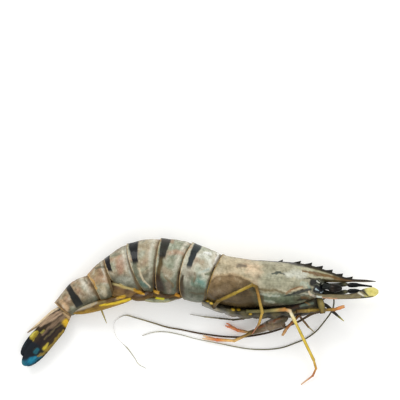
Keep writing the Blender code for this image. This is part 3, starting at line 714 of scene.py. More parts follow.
# Head shield. Sections from rear to front hold back x, y, belly x, y, half width, middle z, bow;
# patches and the eye's hollow hold centre, radii, tilt, edge softness; furrows a rise in mm and a
# bent line of x, y, half width.
carapace = {
    "sections": [
        (11.7, 30.2, 2.9, 6.8, 12.1, 11.8, 1.6), (16.6, 28.8, 7.3, 4.7, 12.8, 12.5, 1.2),
        (26.5, 27.3, 19.8, 2.1, 13.2, 12.9, 0.4), (36.4, 26.6, 32.2, 2.3, 12.6, 12.9, 0.0),
        (43.7, 26.0, 41.6, 2.9, 11.4, 12.9, 0.0), (52.0, 24.7, 51.0, 3.9, 9.4, 12.9, 0.0),
        (58.0, 22.6, 57.4, 6.2, 7.6, 12.9, 0.0), (62.0, 20.4, 61.6, 7.5, 6.0, 12.9, 0.0),
        (64.6, 18.6, 64.4, 9.0, 4.2, 12.9, 0.0),
    ],
    "rows": 190,
    "columns": 200,
    "tone": (186, 172, 142),
    "frontTone": (158, 154, 130),
    "greyTone": (138, 130, 104),
    "pinkTone": (184, 146, 118),
    "brownTone": (98, 76, 42),
    "brownPatch": [(17.2, 8.2), (15.6, 11.2), -14, 0.06],
    "arcPatch": [(17.2, 8.4), (15.9, 11.5), -14, 0.05],
    "lowBrownTone": (76, 64, 42),
    "arcTone": (190, 164, 122),
    "crestTone": (28, 24, 16),
    "rearTone": (140, 110, 40),
    "furrows": [
        (0.55, [(43.6, 10.4, 0.7), (47.6, 12.4, 1.1), (52.4, 13.2, 0.7)]),
        (-0.60, [(41.8, 8.4, 0.7), (49.5, 10.0, 1.0), (56.0, 11.6, 1.1)]),
        (-0.30, [(28.0, 12.0, 0.9), (36.0, 11.8, 1.3), (43.0, 10.2, 0.9)]),
        (-0.35, [(36.0, 21.0, 0.6), (40.0, 20.6, 1.0), (45.0, 19.6, 0.6)]),
    ],
    "furrowSoftness": 0.9,
    "hollow": [(61.6, 13.4), (4.6, 4.0), 0, 0.5],
    "hollowDepth": 1.1,
}

# Broad soft marks on the shield, then the sharper ones
headClouds = [
    ((184, 186, 166), 0.5, 0.8, [(36.0, 18.4, 1.6), (41.0, 17.8, 1.6)]),
    ((234, 206, 172), 0.6, 0.8, [(26.4, 22.4, 2.0), (29.4, 22.6, 2.3)]),
    ((212, 214, 200), 0.75, 0.8, [(44.6, 19.6, 1.4), (50.8, 20.0, 2.0), (54.6, 19.4, 1.0)]),
    ((152, 152, 128), 0.6, 0.8, [(32.0, 17.0, 2.4), (41.0, 15.8, 2.6), (50.0, 15.6, 2.0)]),
    ((84, 98, 76), 0.85, 0.7, [(32.0, 7.6, 2.6), (42.0, 6.8, 3.2), (51.0, 7.0, 2.6)]),
    ((74, 72, 50), 0.7, 0.7, [(50.0, 7.4, 1.6), (56.0, 8.6, 2.2), (61.0, 8.2, 2.2)]),
    ((88, 68, 42), 0.6, 0.8, [(6.4, 5.4, 1.2), (16.0, 3.4, 1.6), (28.0, 2.8, 1.4),
     (40.0, 3.6, 1.2)]),
]
headMarks = [
    ((148, 124, 90), 0.6, 0.8, [(6.0, 14.6, 1.2), (10.4, 17.4, 1.5), (17.0, 17.6, 1.3),
     (21.0, 16.2, 0.8)]),
    ((124, 106, 82), 0.5, 0.9, [(8.0, 10.6, 1.6), (14.0, 13.0, 2.2)]),
    ((64, 54, 34), 0.55, 0.9, [(17.4, 11.4, 1.2), (22.0, 9.0, 2.4), (27.0, 6.4, 2.0)]),
    ((92, 92, 68), 0.6, 0.8, [(26.0, 14.2, 1.2), (29.0, 10.2, 2.0), (30.4, 5.4, 2.0)]),
    ((84, 82, 72), 0.7, 0.7, [(19.4, 24.2, 0.7), (21.6, 24.6, 1.0), (23.8, 24.0, 0.6)]),
    ((44, 58, 54), 0.85, 0.5, [(37.2, 20.0, 0.3), (39.6, 20.6, 0.6), (41.6, 20.8, 0.5),
     (43.8, 19.6, 0.25)]),
    ((94, 78, 40), 0.75, 0.6, [(30.0, 12.6, 0.5), (34.0, 11.4, 0.8), (39.0, 11.6, 0.7),
     (43.6, 10.2, 0.5)]),
    ((196, 204, 188), 0.5, 0.7, [(31.4, 9.6, 0.4), (36.0, 8.8, 0.6), (41.0, 8.8, 0.4)]),
    ((190, 200, 186), 0.45, 0.7, [(33.6, 6.2, 0.3), (38.0, 5.6, 0.5)]),
    ((140, 98, 54), 0.85, 0.5, [(44.4, 9.8, 0.35), (47.4, 11.8, 0.55), (50.4, 13.2, 0.5),
     (52.8, 13.0, 0.4)]),
    ((214, 196, 160), 0.8, 0.5, [(47.8, 11.2, 0.3), (51.4, 12.4, 0.6), (54.0, 12.0, 0.4)]),
    ((30, 34, 34), 0.9, 0.5, [(43.6, 8.6, 0.3), (48.6, 10.0, 0.6), (53.0, 11.0, 1.0),
     (57.0, 12.0, 0.8)]),
    ((200, 204, 186), 0.6, 0.6, [(52.6, 9.0, 0.4), (57.6, 9.8, 0.6)]),
    ((12, 15, 12), 0.97, 0.35, [(58.4, 15.6, 1.7), (61.6, 14.6, 2.8), (65.4, 13.2, 3.2)]),
    ((58, 58, 46), 0.8, 0.5, [(54.0, 17.8, 0.2), (58.0, 17.5, 0.45)]),
    ((112, 116, 92), 0.8, 0.5, [(59.0, 16.9, 0.2), (61.2, 17.0, 0.25), (63.0, 15.6, 0.2),
     (64.6, 15.9, 0.15)]),
    ((96, 100, 84), 0.8, 0.5, [(59.2, 14.4, 0.2), (60.8, 14.9, 0.25), (62.0, 13.6, 0.2)]),
    ((8, 12, 18), 0.97, 0.35, [(60.2, 11.8, 1.8), (64.6, 11.2, 2.4)]),
    ((40, 32, 20), 0.8, 0.5, [(50.6, 6.4, 0.5), (53.6, 7.2, 0.9), (56.4, 6.0, 0.6)]),
    ((112, 86, 46), 0.7, 0.6, [(56.0, 5.8, 0.5), (60.0, 6.8, 0.7), (63.6, 8.0, 0.5)]),
    ((206, 196, 182), 0.75, 0.5, [(57.4, 8.8, 0.4), (59.8, 7.8, 0.8)]),
    ((136, 160, 148), 0.7, 0.7, [(52.8, 15.2, 0.9), (55.4, 14.4, 1.0), (56.8, 12.8, 0.6)]),
    ((218, 198, 168), 0.75, 0.5, [(56.4, 10.8, 0.4), (57.4, 9.2, 0.7)]),
    ((40, 48, 38), 0.75, 0.6, [(45.6, 8.6, 0.3), (50.0, 9.2, 0.4), (54.0, 9.0, 0.3)]),
    ((98, 72, 40), 0.8, 0.5, [(52.6, 8.0, 0.4), (56.0, 7.2, 0.6)]),
    # Painted highlights: the next four pale marks are glints on the dark parts round the eye
    ((170, 196, 206), 0.85, 0.4, [(60.0, 12.2, 0.35), (61.4, 11.6, 0.25)]),
    ((180, 200, 210), 0.85, 0.4, [(62.6, 10.4, 0.4), (64.4, 11.0, 0.3)]),
    ((196, 200, 190), 0.8, 0.4, [(60.6, 16.2, 0.25), (62.0, 15.4, 0.2)]),
    ((190, 194, 176), 0.8, 0.4, [(63.2, 14.4, 0.25), (64.6, 15.2, 0.2)]),
    ((176, 176, 146), 0.8, 0.5, [(50.0, 23.2, 0.4), (56.0, 22.4, 0.6), (63.0, 20.6, 0.55),
     (69.6, 18.9, 0.4), (75.0, 17.5, 0.3)]),
    ((112, 80, 38), 0.85, 0.5, [(53.0, 21.4, 0.4), (60.0, 20.0, 0.8), (67.0, 18.6, 0.9),
     (74.0, 17.1, 0.7), (80.0, 16.3, 0.4)]),
    ((178, 176, 148), 0.7, 0.5, [(56.0, 18.9, 0.3), (63.0, 18.0, 0.6), (69.0, 17.0, 0.5)]),
    ((60, 54, 30), 0.8, 0.5, [(57.0, 17.4, 0.5), (63.0, 16.9, 0.5), (71.0, 16.2, 0.4),
     (78.0, 15.7, 0.3)]),
]


def carapaceTone(points, s, turn):
    c = carapace
    tone = plainTone(c["tone"], points)
    side = np.abs(turn) / math.pi
    soft = ripple(points, 8.0, 71)
    fine = ripple(points, 2.6, 72)
    warped = warpedPoints(points, 1.0, 73)
    tone = paintOver(tone, c["frontTone"], smoothStep(22.0, 36.0, points[..., 0]))
    tone = paintOver(tone, c["greyTone"], 0.55 * smoothStep(0.1, 1.0, soft))
    rearward = smoothStep(44.0, 30.0, points[..., 0])
    tone = paintOver(tone, c["pinkTone"], 0.45 * smoothStep(-0.2, -1.0, soft) * rearward)
    tone = drawMarks(tone, warped, headClouds)
    brown = ovalMask(warpedPoints(points, 0.35, 75), *c["brownPatch"])
    arc = ovalMask(warpedPoints(points, 0.35, 75), *c["arcPatch"]) * (1 - brown)
    tone = paintOver(tone, c["brownTone"], 0.92 * brown)
    low = smoothStep(11.0, 5.0, points[..., 1] + 1.2 * soft)
    tone = paintOver(tone, c["lowBrownTone"], 0.75 * brown * low)
    tone = paintOver(tone, c["arcTone"], 0.8 * arc * smoothStep(12.0, 16.0, points[..., 1]))
    tone = tone * (1 + 0.14 * fine + 0.10 * ripple(points, 1.2, 77))[..., None]
    tone = drawMarks(tone, warpedPoints(points, 0.35, 78, 3.0), headMarks)
    return crestLayer(tone, points, s)


# Height of the back's outline at each x: the shield's back, then the rostrum's top
def backLine(x):
    rows = carapace["sections"][:5] + rostrum["rows"][2:]
    return np.interp(x, [row[0] for row in rows], [row[1] for row in rows])


# Black crest: a band along the back's outline that thickens towards the teeth
def crestLayer(tone, points, s):
    below = backLine(points[..., 0]) - points[..., 1]
    width = np.interp(points[..., 0], [12, 30, 38, 60, 78, 92], [0.5, 0.65, 1.3, 1.5, 1.1, 0.8])
    crest = smoothStep(width * 1.25, width * 0.75, below)
    aside = np.abs(points[..., 2] - body["headMiddle"]) + 0.5 * ripple(points, 4.0, 74)
    reach = np.interp(points[..., 0], [12, 24, 36, 48], [1.3, 2.0, 3.2, 4.1])
    crest = crest * smoothStep(reach * 1.3, reach * 0.75, aside)
    strength = np.interp(points[..., 0], [12, 24, 40], [0.55, 0.8, 0.92])
    tone = paintOver(tone, carapace["crestTone"], strength * crest)
    rear = smoothStep(0.026, 0.012, s) * (s >= 0)
    return paintOver(tone, carapace["rearTone"], 0.85 * rear)


def carapaceShape():
    c = carapace
    s = np.linspace(0, 1, c["rows"])[:, None]
    turn = turnRow(c["columns"], -math.pi) + 0 * s
    s = s + 0 * turn
    read = rowsAt(c["sections"], s * (len(c["sections"]) - 1))
    ridge = 0.035 * np.exp(-(turn / 0.13) ** 2) * smoothStep(0.3, 0.8, s)
    lip = 0.015 * smoothStep(0.04, 0.0, s) - 0.012 * np.exp(-((s - 0.06) / 0.02) ** 2)
    close = 1 - 0.35 * smoothStep(0.955, 1.0, s) ** 2
    points = bodyPoints(read, turn, (1 + ridge + lip) * close, 0.25 * (s < 0.001))
    centre = points.mean(axis=1, keepdims=True)
    height = 0.16 * ripple(points, 12.0, 61) + 0.05 * ripple(points, 4.0, 62)
    for rise, path in c["furrows"]:
        height += rise * strokeMask(points, path, c["furrowSoftness"])
    height -= c["hollowDepth"] * ovalMask(points, *c["hollow"])
    side = np.abs(turn) / math.pi
    height -= 0.35 * np.exp(-((side - 0.93) / 0.012) ** 2)
    height *= smoothStep(0.0, 0.03, s) * smoothStep(1.0, 0.97, s)
    points = raised(points, height, centre)
    grain = np.stack([s * 55.0, turn * 12.0, 0 * s], axis=-1)
    return closedTube(points, carapaceTone(points, s, turn), grain)


rostrum = {
    "rows": [
        (38.0, 25.6, 20.0, 2.6), (44.7, 26.1, 20.6, 2.5), (53.2, 25.2, 20.3, 2.2),
        (59.1, 23.9, 16.8, 1.9), (64.1, 22.3, 15.6, 1.6), (69.4, 20.4, 15.3, 1.3),
        (74.7, 18.3, 15.35, 1.1), (79.8, 17.2, 15.6, 0.9), (86.3, 16.8, 15.5, 0.8),
        (91.4, 16.1, 15.7, 0.5),
    ],
    "teeth": [
        (43.2, 27.3, 5.0, 0.8), (52.6, 26.7, 4.6, 0.8), (58.4, 25.8, 4.2, 0.75),
        (64.0, 24.1, 4.0, 0.7), (69.1, 22.1, 3.8, 0.65), (74.4, 20.1, 3.6, 0.6),
        (79.5, 18.5, 3.4, 0.55),
    ],
    "grid": (150, 48),
    "toothGrid": (16, 16),
    "sideTone": (134, 122, 84),
    "tipTone": (84, 56, 30),
    "toothTone": (26, 24, 18),
}


# Blade of the rostrum: upper and lower edge read along x, with a raised rib along each side
def rostrumShape():
    read = smoothRows(rostrum["rows"], rostrum["grid"][0])
    turn = turnRow(rostrum["grid"][1])
    x, top, bottom, half = (read[:, k][:, None] for k in range(4))
    rib = 1 + 0.28 * np.exp(-((np.cos(turn) + 0.35) / 0.22) ** 2)
    y = between(top, bottom, turn)
    z = body["headMiddle"] + half * np.sin(turn) * rib * (1 - 0.35 * np.cos(turn))
    points = np.stack([x + 0 * turn, y, z], axis=-1)
    far = smoothStep(60.0, 88.0, points[..., 0])
    tone = plainTone(rostrum["sideTone"], points)
    tone = drawMarks(tone, warpedPoints(points, 0.2, 79, 3.0), headMarks)
    tone = paintOver(tone, rostrum["tipTone"], 0.75 * far)
    tone = crestLayer(tone, points, 0 * points[..., 0] - 1)
    grain = np.stack([points[..., 0], turn * 2.0 + 0 * x, 0 * y], axis=-1)
    return closedTube(points, tone, grain)


# Saw tooth: its edge rises evenly from the crest to the tip, then drops back; thinner at the tip
def toothShape(tipX, tipY, foot, half):
    crestX = [row[0] for row in rostrum["rows"]]
    crestY = [row[1] for row in rostrum["rows"]]
    height = tipY - np.interp(tipX, crestX, crestY)
    share = np.linspace(0, 1, rostrum["toothGrid"][0])[:, None]
    x = tipX - foot * (1 - share)
    crest = np.interp(x, crestX, crestY)
    top = crest + height * share ** 1.15
    bottom = crest - 0.8 + (height + 0.5) * smoothStep(0.86, 1.0, share)
    turn = turnRow(rostrum["toothGrid"][1])
    y = between(top, bottom, turn)
    z = body["headMiddle"] + half * (1 - 0.7 * share) * np.sin(turn)
    points = np.stack([x + 0 * turn, y, z], axis=-1)
    tone = plainTone(rostrum["toothTone"], points)
    return closedTube(points, tone, points * 1.0)


shapes = [carapaceShape(), rostrumShape()]
shapes += [toothShape(*tooth) for tooth in rostrum["teeth"]]
makePiece("headShield", joinShapes(shapes), skin["headSkin"], ["carapace"], 60)
print("head shield made")


# Underside of the thorax with the legs' stout first joints.
# sections: upper x, y, lower x, y, half width; hips: x, y, radius.
thorax = {
    "sections": [
        (0.4, 5.0, 1.0, 3.2, 4.6), (5.0, 4.6, 7.2, 0.8, 6.4), (10.4, 3.2, 13.2, -1.2, 7.4),
        (19.8, 1.1, 20.8, -3.0, 8.4), (32.2, 1.3, 32.2, -3.4, 8.4), (44.2, 2.2, 44.7, -2.9, 7.6),
        (52.5, 3.6, 55.1, -1.8, 5.4), (60.4, 5.8, 62.0, 0.6, 3.4),
    ],
    "hips": [(8.6, 1.9, 0.9), (15.6, 0.6, 1.2), (23.4, -0.6, 1.4), (31.4, -0.9, 1.4),
        (39.0, -0.8, 1.3), (46.4, 0.2, 1.1)],
    "reachUp": [2.4, 2.6, 1.8, 1.6, 1.6, 2.2, 3.2, 4.0],
    "grid": (120, 96),
    "tone": (70, 66, 48),
    "darkTone": (30, 26, 18),
    "hipTone": (92, 84, 54),
    "marks": [
        ((26, 22, 14), 0.9, 0.5, [(9.0, 2.9, 0.5), (20.0, 1.7, 0.7), (33.0, 1.8, 0.7),
         (46.0, 2.8, 0.6), (54.0, 4.4, 0.6)]),
        ((150, 148, 138), 0.75, 0.7, [(0.2, 4.8, 1.3), (3.0, 3.2, 1.1), (8.0, 1.0, 1.2)]),
        ((150, 148, 138), 0.5, 0.8, [(8.0, 1.0, 1.2), (14.0, -1.0, 1.1)]),
        ((140, 138, 124), 0.35, 0.9, [(14.0, -1.0, 1.1), (18.0, -2.2, 1.0), (22.0, -3.0, 0.5)]),
        ((70, 46, 30), 0.7, 0.6, [(46.0, 2.4, 0.8), (52.0, 3.2, 1.0)]),
        ((118, 100, 44), 0.8, 0.5, [(48.0, -0.6, 0.5), (55.0, 1.0, 0.7), (60.0, 2.2, 0.6)]),
        ((36, 28, 18), 0.8, 0.5, [(40.0, -2.4, 0.6), (48.0, -1.8, 0.7), (56.0, -0.4, 0.5)]),
        ((116, 134, 118), 0.7, 0.6, [(52.0, 3.2, 0.5), (58.6, 5.0, 0.6)]),
        ((146, 104, 48), 0.8, 0.5, [(52.8, 6.2, 0.3), (56.4, 4.2, 0.35)]),
        ((24, 16, 18), 0.9, 0.5, [(47.4, 3.4, 0.7), (50.8, 4.4, 0.8)]),
    ],
    "dotTone": (216, 180, 52),
    "dots": [(3.9, 5.9), (5.9, 4.7), (17.2, 1.5), (19.9, 1.5), (26.0, -0.7)],
}


def thoraxShape():
    rows = [
        (a, b + rise, *rest, body["headMiddle"], 0.0)
        for (a, b, *rest), rise in zip(thorax["sections"], thorax["reachUp"])
    ]
    s = np.linspace(0, 1, thorax["grid"][0])[:, None]
    turn = turnRow(thorax["grid"][1], -math.pi) + 0 * s
    points = bodyPoints(rowsAt(rows, (s + 0 * turn) * (len(rows) - 1)), turn,
        np.ones(thorax["grid"]))
    centre = points.mean(axis=1, keepdims=True)
    hip = np.zeros(thorax["grid"])
    for x, y, radius in thorax["hips"]:
        hip = np.maximum(hip, ovalMask(points, (x, y), (radius * 1.9, radius * 1.3), -25, 0.6))
    side = smoothStep(0.12, 0.5, np.abs(np.sin(turn)))
    height = (0.75 * hip - 0.25) * side + 0.12 * ripple(points, 3.0, 81)
    below = smoothStep(0.2, -0.6, np.cos(turn))
    crease = np.zeros(thorax["grid"])
    knob = np.zeros(thorax["grid"])
    for x, y, radius in thorax["hips"]:
        crease = np.maximum(crease, np.exp(-((points[..., 0] - x - 3.8) / 0.7) ** 2))
        across = (np.abs(points[..., 2] - body["headMiddle"]) - 3.4) / 2.2
        knob = np.maximum(knob, np.exp(-((points[..., 0] - x) / 2.1) ** 2 - across ** 2))
    height += below * (0.4 * knob - 0.35 * crease)
    points = raised(points, height, centre)
    tone = plainTone(thorax["tone"], points)
    patches = smoothStep(-0.9, 0.7, ripple(points, 4.0, 82))
    tone = paintOver(tone, thorax["darkTone"], 0.8 * (1 - hip) * patches)
    tone = paintOver(tone, thorax["hipTone"], 0.7 * np.maximum(hip, below * knob))
    tone = paintOver(tone, thorax["darkTone"], 0.6 * below * crease)
    marked = drawMarks(tone, warpedPoints(points, 0.4, 83, 3.0), thorax["marks"])
    seen = smoothStep(-0.25, 0.5, np.sin(turn) + 0.25 * ripple(points, 4.0, 84))
    tone = layer(tone, marked, seen)
    for x, y in thorax["dots"]:
        tone = paintOver(tone, thorax["dotTone"], ovalMask(points, (x, y), (0.9, 0.65), -10, 0.35))
    grain = np.stack([s * 50.0 + 0 * turn, turn * 7.0, 0 * turn], axis=-1)
    return closedTube(points, tone, grain)


makePiece("thoraxBase", thoraxShape(), skin["swimmerSkin"], ["thorax_underside"])
print("thorax made")


# Tail fan. Each blade: base x, y, tip x, y, half width, base z, tip z, half thickness, blunt or not
fan = {
    "telson": (-72.0, 2.0, -90.2, -11.1, 2.7, 4.0, 3.2, 0.95, False),
    "uropod_endopod_right": (-70.0, 1.2, -93.1, -22.8, 4.2, 6.1, 4.7, 0.42, True),
    "uropod_exopod_right": (-68.7, -0.8, -92.3, -27.9, 4.7, 7.6, 6.1, 0.45, True),
    "uropod_endopod_left": (-71.3, -0.4, -93.1, -22.8, 4.2, 2.0, 1.9, 0.4, True),
    "uropod_exopod_left": (-69.6, -2.4, -90.9, -28.3, 4.3, 0.55, 0.55, 0.5, True),
    "base": (54, 41, 25),
    "navy": (8, 20, 30),
    "blue": (14, 82, 104),
    "telsonTone": (226, 204, 168),
    "telsonRib": (84, 66, 44),
    "telsonTip": (110, 62, 30),
    "grid": (90, 72),
    "marks": [
        ((140, 116, 92), 0.7, 0.6, [(-70.0, -1.6, 0.9), (-75.6, -6.2, 1.4), (-82.0, -12.0, 0.6)]),
        ((180, 152, 124), 0.9, 0.5, [(-72.6, -0.4, 0.9), (-78.4, -3.4, 1.6), (-83.4, -7.0, 0.9)]),
        ((186, 156, 112), 0.9, 0.5, [(-71.8, 0.6, 0.8), (-68.2, -2.8, 0.9)]),
        ((30, 20, 22), 0.9, 0.6, [(-73.4, -7.4, 0.9), (-78.6, -11.8, 2.1), (-84.6, -18.0, 1.6)]),
        ((44, 32, 24), 0.8, 0.6, [(-70.4, -7.6, 0.7), (-76.4, -15.4, 1.0), (-81.0, -20.6, 0.8)]),
        ((112, 98, 66), 0.6, 0.6, [(-70.6, -4.8, 0.4), (-76.0, -9.4, 0.5), (-81.0, -14.4, 0.4)]),
        ((146, 122, 44), 0.9, 0.5, [(-71.2, -10.2, 0.6), (-77.0, -17.4, 0.8), (-83.4, -23.6, 0.9)]),
        ((196, 176, 50), 0.9, 0.5, [(-79.4, -16.4, 0.4), (-80.4, -18.2, 0.7), (-82.6, -21.0, 0.6)]),
        ((186, 168, 60), 0.85, 0.5, [(-84.6, -18.6, 0.3), (-86.8, -20.0, 0.6)]),
        ((160, 150, 60), 0.8, 0.5, [(-81.6, -9.8, 0.3), (-82.8, -10.8, 0.5)]),
        ((176, 154, 46), 0.95, 0.4, [(-85.0, -10.8, 1.0), (-86.4, -12.6, 1.5),
         (-87.6, -14.2, 1.1)]),
        ((214, 204, 96), 0.8, 0.5, [(-86.2, -10.6, 0.4), (-88.0, -12.6, 0.7)]),
        ((70, 52, 26), 0.8, 0.5, [(-66.8, -6.4, 0.4), (-71.0, -12.0, 0.5), (-80.0, -22.8, 0.4)]),
        ((214, 172, 42), 0.98, 0.4, [(-69.4, -6.2, 1.8), (-70.2, -5.4, 1.9)]),
    ],
    "tipMarks": [
        ((14, 92, 118), 0.95, 0.5, [(-91.5, -27.2, 1.2), (-87.4, -25.6, 2.0), (-83.6, -23.6, 1.2)]),
        ((24, 92, 106), 0.9, 0.5, [(-86.4, -21.2, 0.8), (-84.8, -19.8, 0.9)]),
        ((140, 120, 50), 0.85, 0.5, [(-81.6, -21.6, 0.9), (-84.6, -22.8, 0.7)]),
        ((20, 56, 64), 0.85, 0.6, [(-82.6, -24.6, 0.7), (-86.4, -27.2, 0.8), (-90.4, -29.4, 0.6)]),
        ((18, 124, 152), 0.8, 0.6, [(-86.2, -24.0, 0.8), (-88.6, -25.8, 1.0)]),
        ((28, 112, 122), 0.7, 0.6, [(-92.6, -25.8, 0.6), (-91.8, -27.6, 0.7)]),
        ((40, 58, 66), 0.7, 0.6, [(-92.0, -18.4, 0.4), (-90.6, -16.0, 0.4)]),
    ],
}


# Blade: t along, turn round a thin lens; a middle rib and two side ribs stand up, the edge is thin
def bladePiece(name, node, shape):
    baseX, baseY, tipX, tipY, halfWidth, baseZ, tipZ, halfThick, blunt = shape
    base = np.array([baseX, baseY])
    tip = np.array([tipX, tipY])
    way = (tip - base) / np.linalg.norm(tip - base)
    side = np.array([-way[1], way[0]])
    t = (1 - (1 - np.linspace(0, 1, fan["grid"][0])) ** 1.3)[:, None]
    turn = turnRow(fan["grid"][1])
    widen = np.minimum(1.0, 0.45 + 2.4 * t)
    if blunt:
        spread = widen * np.sqrt(np.clip(1 - np.clip((t - 0.62) / 0.384, 0, 1) ** 2, 0.0004, 1))
    else:
        spread = widen * (0.10 + 0.90 * (1 - t))
    cos = np.cos(turn)
    sin = np.sin(turn)
    offset = halfWidth * spread * cos
    flat = base + t[..., None] * (tip - base) + offset[..., None] * side
    rib = 1 + 0.8 * np.exp(-(cos / 0.10) ** 2) + 0.35 * np.exp(-((np.abs(cos) - 0.45) / 0.07) ** 2)
    thick = halfThick * (1 - 0.45 * t) * rib * 0.72
    z = baseZ + (tipZ - baseZ) * t + thick * sin
    points = np.concatenate([flat, z[..., None]], axis=-1)
    tone = bladeTone(name, points, t + 0 * turn, cos + 0 * t)
    grain = np.stack([t * 27.0 + 0 * turn, offset * 1.0, 0 * offset], axis=-1)
    piece = closedTube(points, tone, grain)
    makePiece(name, piece, skin["tailSkin"], [node], 70)


def bladeTone(name, points, t, cos):
    warped = warpedPoints(points, 0.5, 91, 4.0)
    if name == "telsonBlade":
        tone = plainTone(fan["telsonTone"], points)
        tone = paintOver(tone, fan["telsonRib"], 0.7 * np.exp(-((cos - 0.1) / 0.2) ** 2))
        return paintOver(tone, fan["telsonTip"], 0.7 * smoothStep(0.75, 1.0, t))
    tone = plainTone(fan["base"], points)
    tone = tone * (1 + 0.3 * ripple(points, 1.6, 96))[..., None]
    tone = drawMarks(tone, warped, fan["marks"])
    line = (points[..., 0] + 86.0) * -0.62 + (points[..., 1] + 17.2) * -0.78
    line = line + 0.5 * ripple(points, 3.0, 93)
    tip = smoothStep(-1.4, 0.2, line)
    tone = paintOver(tone, fan["navy"], 0.97 * tip)
    low = smoothStep(-24.2, -26.6, points[..., 1] + 0.4 * ripple(points, 2.0, 97))
    tone = paintOver(tone, fan["blue"], 0.95 * low * tip)
    return drawMarks(tone, warped, fan["tipMarks"])


bladePiece("telsonBlade", "telson", fan["telson"])
for node in [key for key in fan if key.startswith("uropod")]:
    words = node.split("_")
    bladePiece("fan" + words[1].title() + words[2].title(), node, fan[node])
print("tail fan made")


# Eyes, short feelers, mouth legs and blades of the head: rows of x, y, z, radius;
# the blade beside the mouth (scale) has rows of x, upper y, lower y, z, half thickness.
head = {
    "eye": [
        (63.9, 13.6, 16.8, 1.7), (66.6, 13.0, 17.4, 1.4), (67.6, 12.8, 17.7, 1.8),
        (69.0, 12.6, 17.9, 2.2), (71.0, 12.5, 18.0, 2.1), (72.9, 12.4, 18.1, 1.4),
        (73.7, 12.4, 18.1, 0.4),
    ],
    "eyeStops": [(0.0, (20, 24, 20)), (0.35, (26, 30, 28)), (0.5, (36, 26, 16)),
        (0.62, (20, 14, 8)), (1.0, (10, 8, 4))],
    "antennule": [
        (63.6, 10.6, 13.7, 1.5), (67.6, 9.7, 14.2, 1.3), (75.2, 10.5, 14.6, 1.1),
        (76.6, 10.8, 14.8, 0.7), (78.0, 10.9, 14.8, 1.2), (81.0, 10.9, 14.8, 1.2),
        (83.6, 10.8, 14.8, 0.7), (89.5, 10.2, 14.5, 0.4),
    ],
    "antennuleRise": ([63.6, 75.2, 78.0], [4.1, 3.8, 3.1]),
    "antennuleStops": [(0.0, (24, 26, 18)), (0.4, (40, 40, 26)), (0.47, (88, 86, 62)),
        (0.53, (14, 16, 16)), (0.8, (12, 14, 16)), (1.0, (34, 30, 18))],
    "scale": [
        (60.4, 9.3, 7.6, 19.0, 0.5), (64.8, 9.3, 7.2, 18.6, 0.6), (68.6, 9.4, 6.8, 18.6, 0.6),
        (78.0, 9.3, 6.9, 18.9, 0.5), (86.3, 12.2, 7.4, 18.6, 0.5), (90.5, 12.7, 8.2, 18.3, 0.4),
        (92.6, 11.5, 9.8, 18.1, 0.3),
    ],
    "scaleGrid": (70, 48),
    "scaleTone": (120, 110, 82),
    "scaleTipTone": (222, 212, 128),
    "scaleMarks": [
        ((86, 74, 40), 0.9, 0.5, [(58.0, 9.4, 0.3), (68.0, 9.5, 0.35), (78.0, 9.4, 0.35),
         (83.0, 10.4, 0.4)]),
        ((84, 66, 34), 0.9, 0.5, [(60.0, 6.9, 0.4), (72.0, 6.6, 0.4), (84.0, 7.0, 0.6),
         (88.0, 7.6, 0.7), (89.6, 8.2, 0.3)]),
        ((198, 150, 118), 0.75, 0.5, [(63.8, 7.5, 0.4), (71.0, 7.1, 0.4)]),
        # Painted highlight: pale teal-white sheen near the scale's base
        ((204, 214, 206), 0.85, 0.5, [(58.6, 8.8, 0.6), (62.8, 7.8, 0.5)]),
        ((58, 64, 52), 0.85, 0.5, [(84.0, 7.6, 0.5), (88.6, 7.5, 0.6)]),
        ((30, 32, 34), 0.9, 0.4, [(82.0, 12.0, 0.5), (84.6, 11.2, 0.6), (87.0, 8.8, 0.4)]),
        ((226, 222, 204), 0.9, 0.4, [(82.4, 10.2, 0.4), (84.8, 8.6, 0.4)]),
        ((206, 194, 96), 0.5, 0.7, [(88.0, 11.4, 0.6), (91.0, 9.6, 0.6)]),
    ],
    "stalk": [(62.0, 7.0, 15.2, 1.5), (62.6, 5.0, 18.2, 1.75), (63.2, 2.4, 20.0, 1.6),
        (63.5, -0.6, 20.2, 1.35)],
    "stalkStops": [(0.0, (84, 70, 40)), (0.3, (104, 92, 50)), (0.6, (128, 116, 66)),
        (1.0, (104, 84, 40))],
    "maxilliped": [(61.2, 4.2, 14.4, 0.8), (65.4, 3.5, 15.4, 0.95), (69.7, -0.3, 14.8, 0.8),
        (74.8, -4.7, 13.4, 0.25)],
    "maxillipedStops": [(0.0, (44, 36, 20)), (0.7, (24, 22, 16)), (0.86, (120, 116, 44)),
        (1.0, (168, 158, 66))],
}


def mirrored(rows):
    return [(x, y, 2 * body["headMiddle"] - z, radius) for x, y, z, radius in rows]


# Darker along both sides of a rod than on its top and bottom, and uneven along it
def rimShade(points, turn):
    shade = (1 - 0.5 * np.abs(np.cos(turn)) ** 3) * (1 + 0.2 * ripple(points, 2.4, 98))
    return shade[..., None]


# Limb part as one smooth rod, its colours read along its length
def rodShape(rows, stops, count, sides):
    read = smoothRows(rows, count)
    read[:, 3] = np.maximum(read[:, 3], body["thinnestRod"])
    points, turn = tubePoints(read, sides)
    reach = lengths(read)
    tone = toneAlong(reach / reach[-1], stops)[:, None, :] * rimShade(points, turn)
    grain = np.stack([reach[:, None] + 0 * turn, turn[None, :] * read[:, 3][:, None],
        0 * points[..., 0]], axis=-1)
    return closedTube(points, tone, grain)


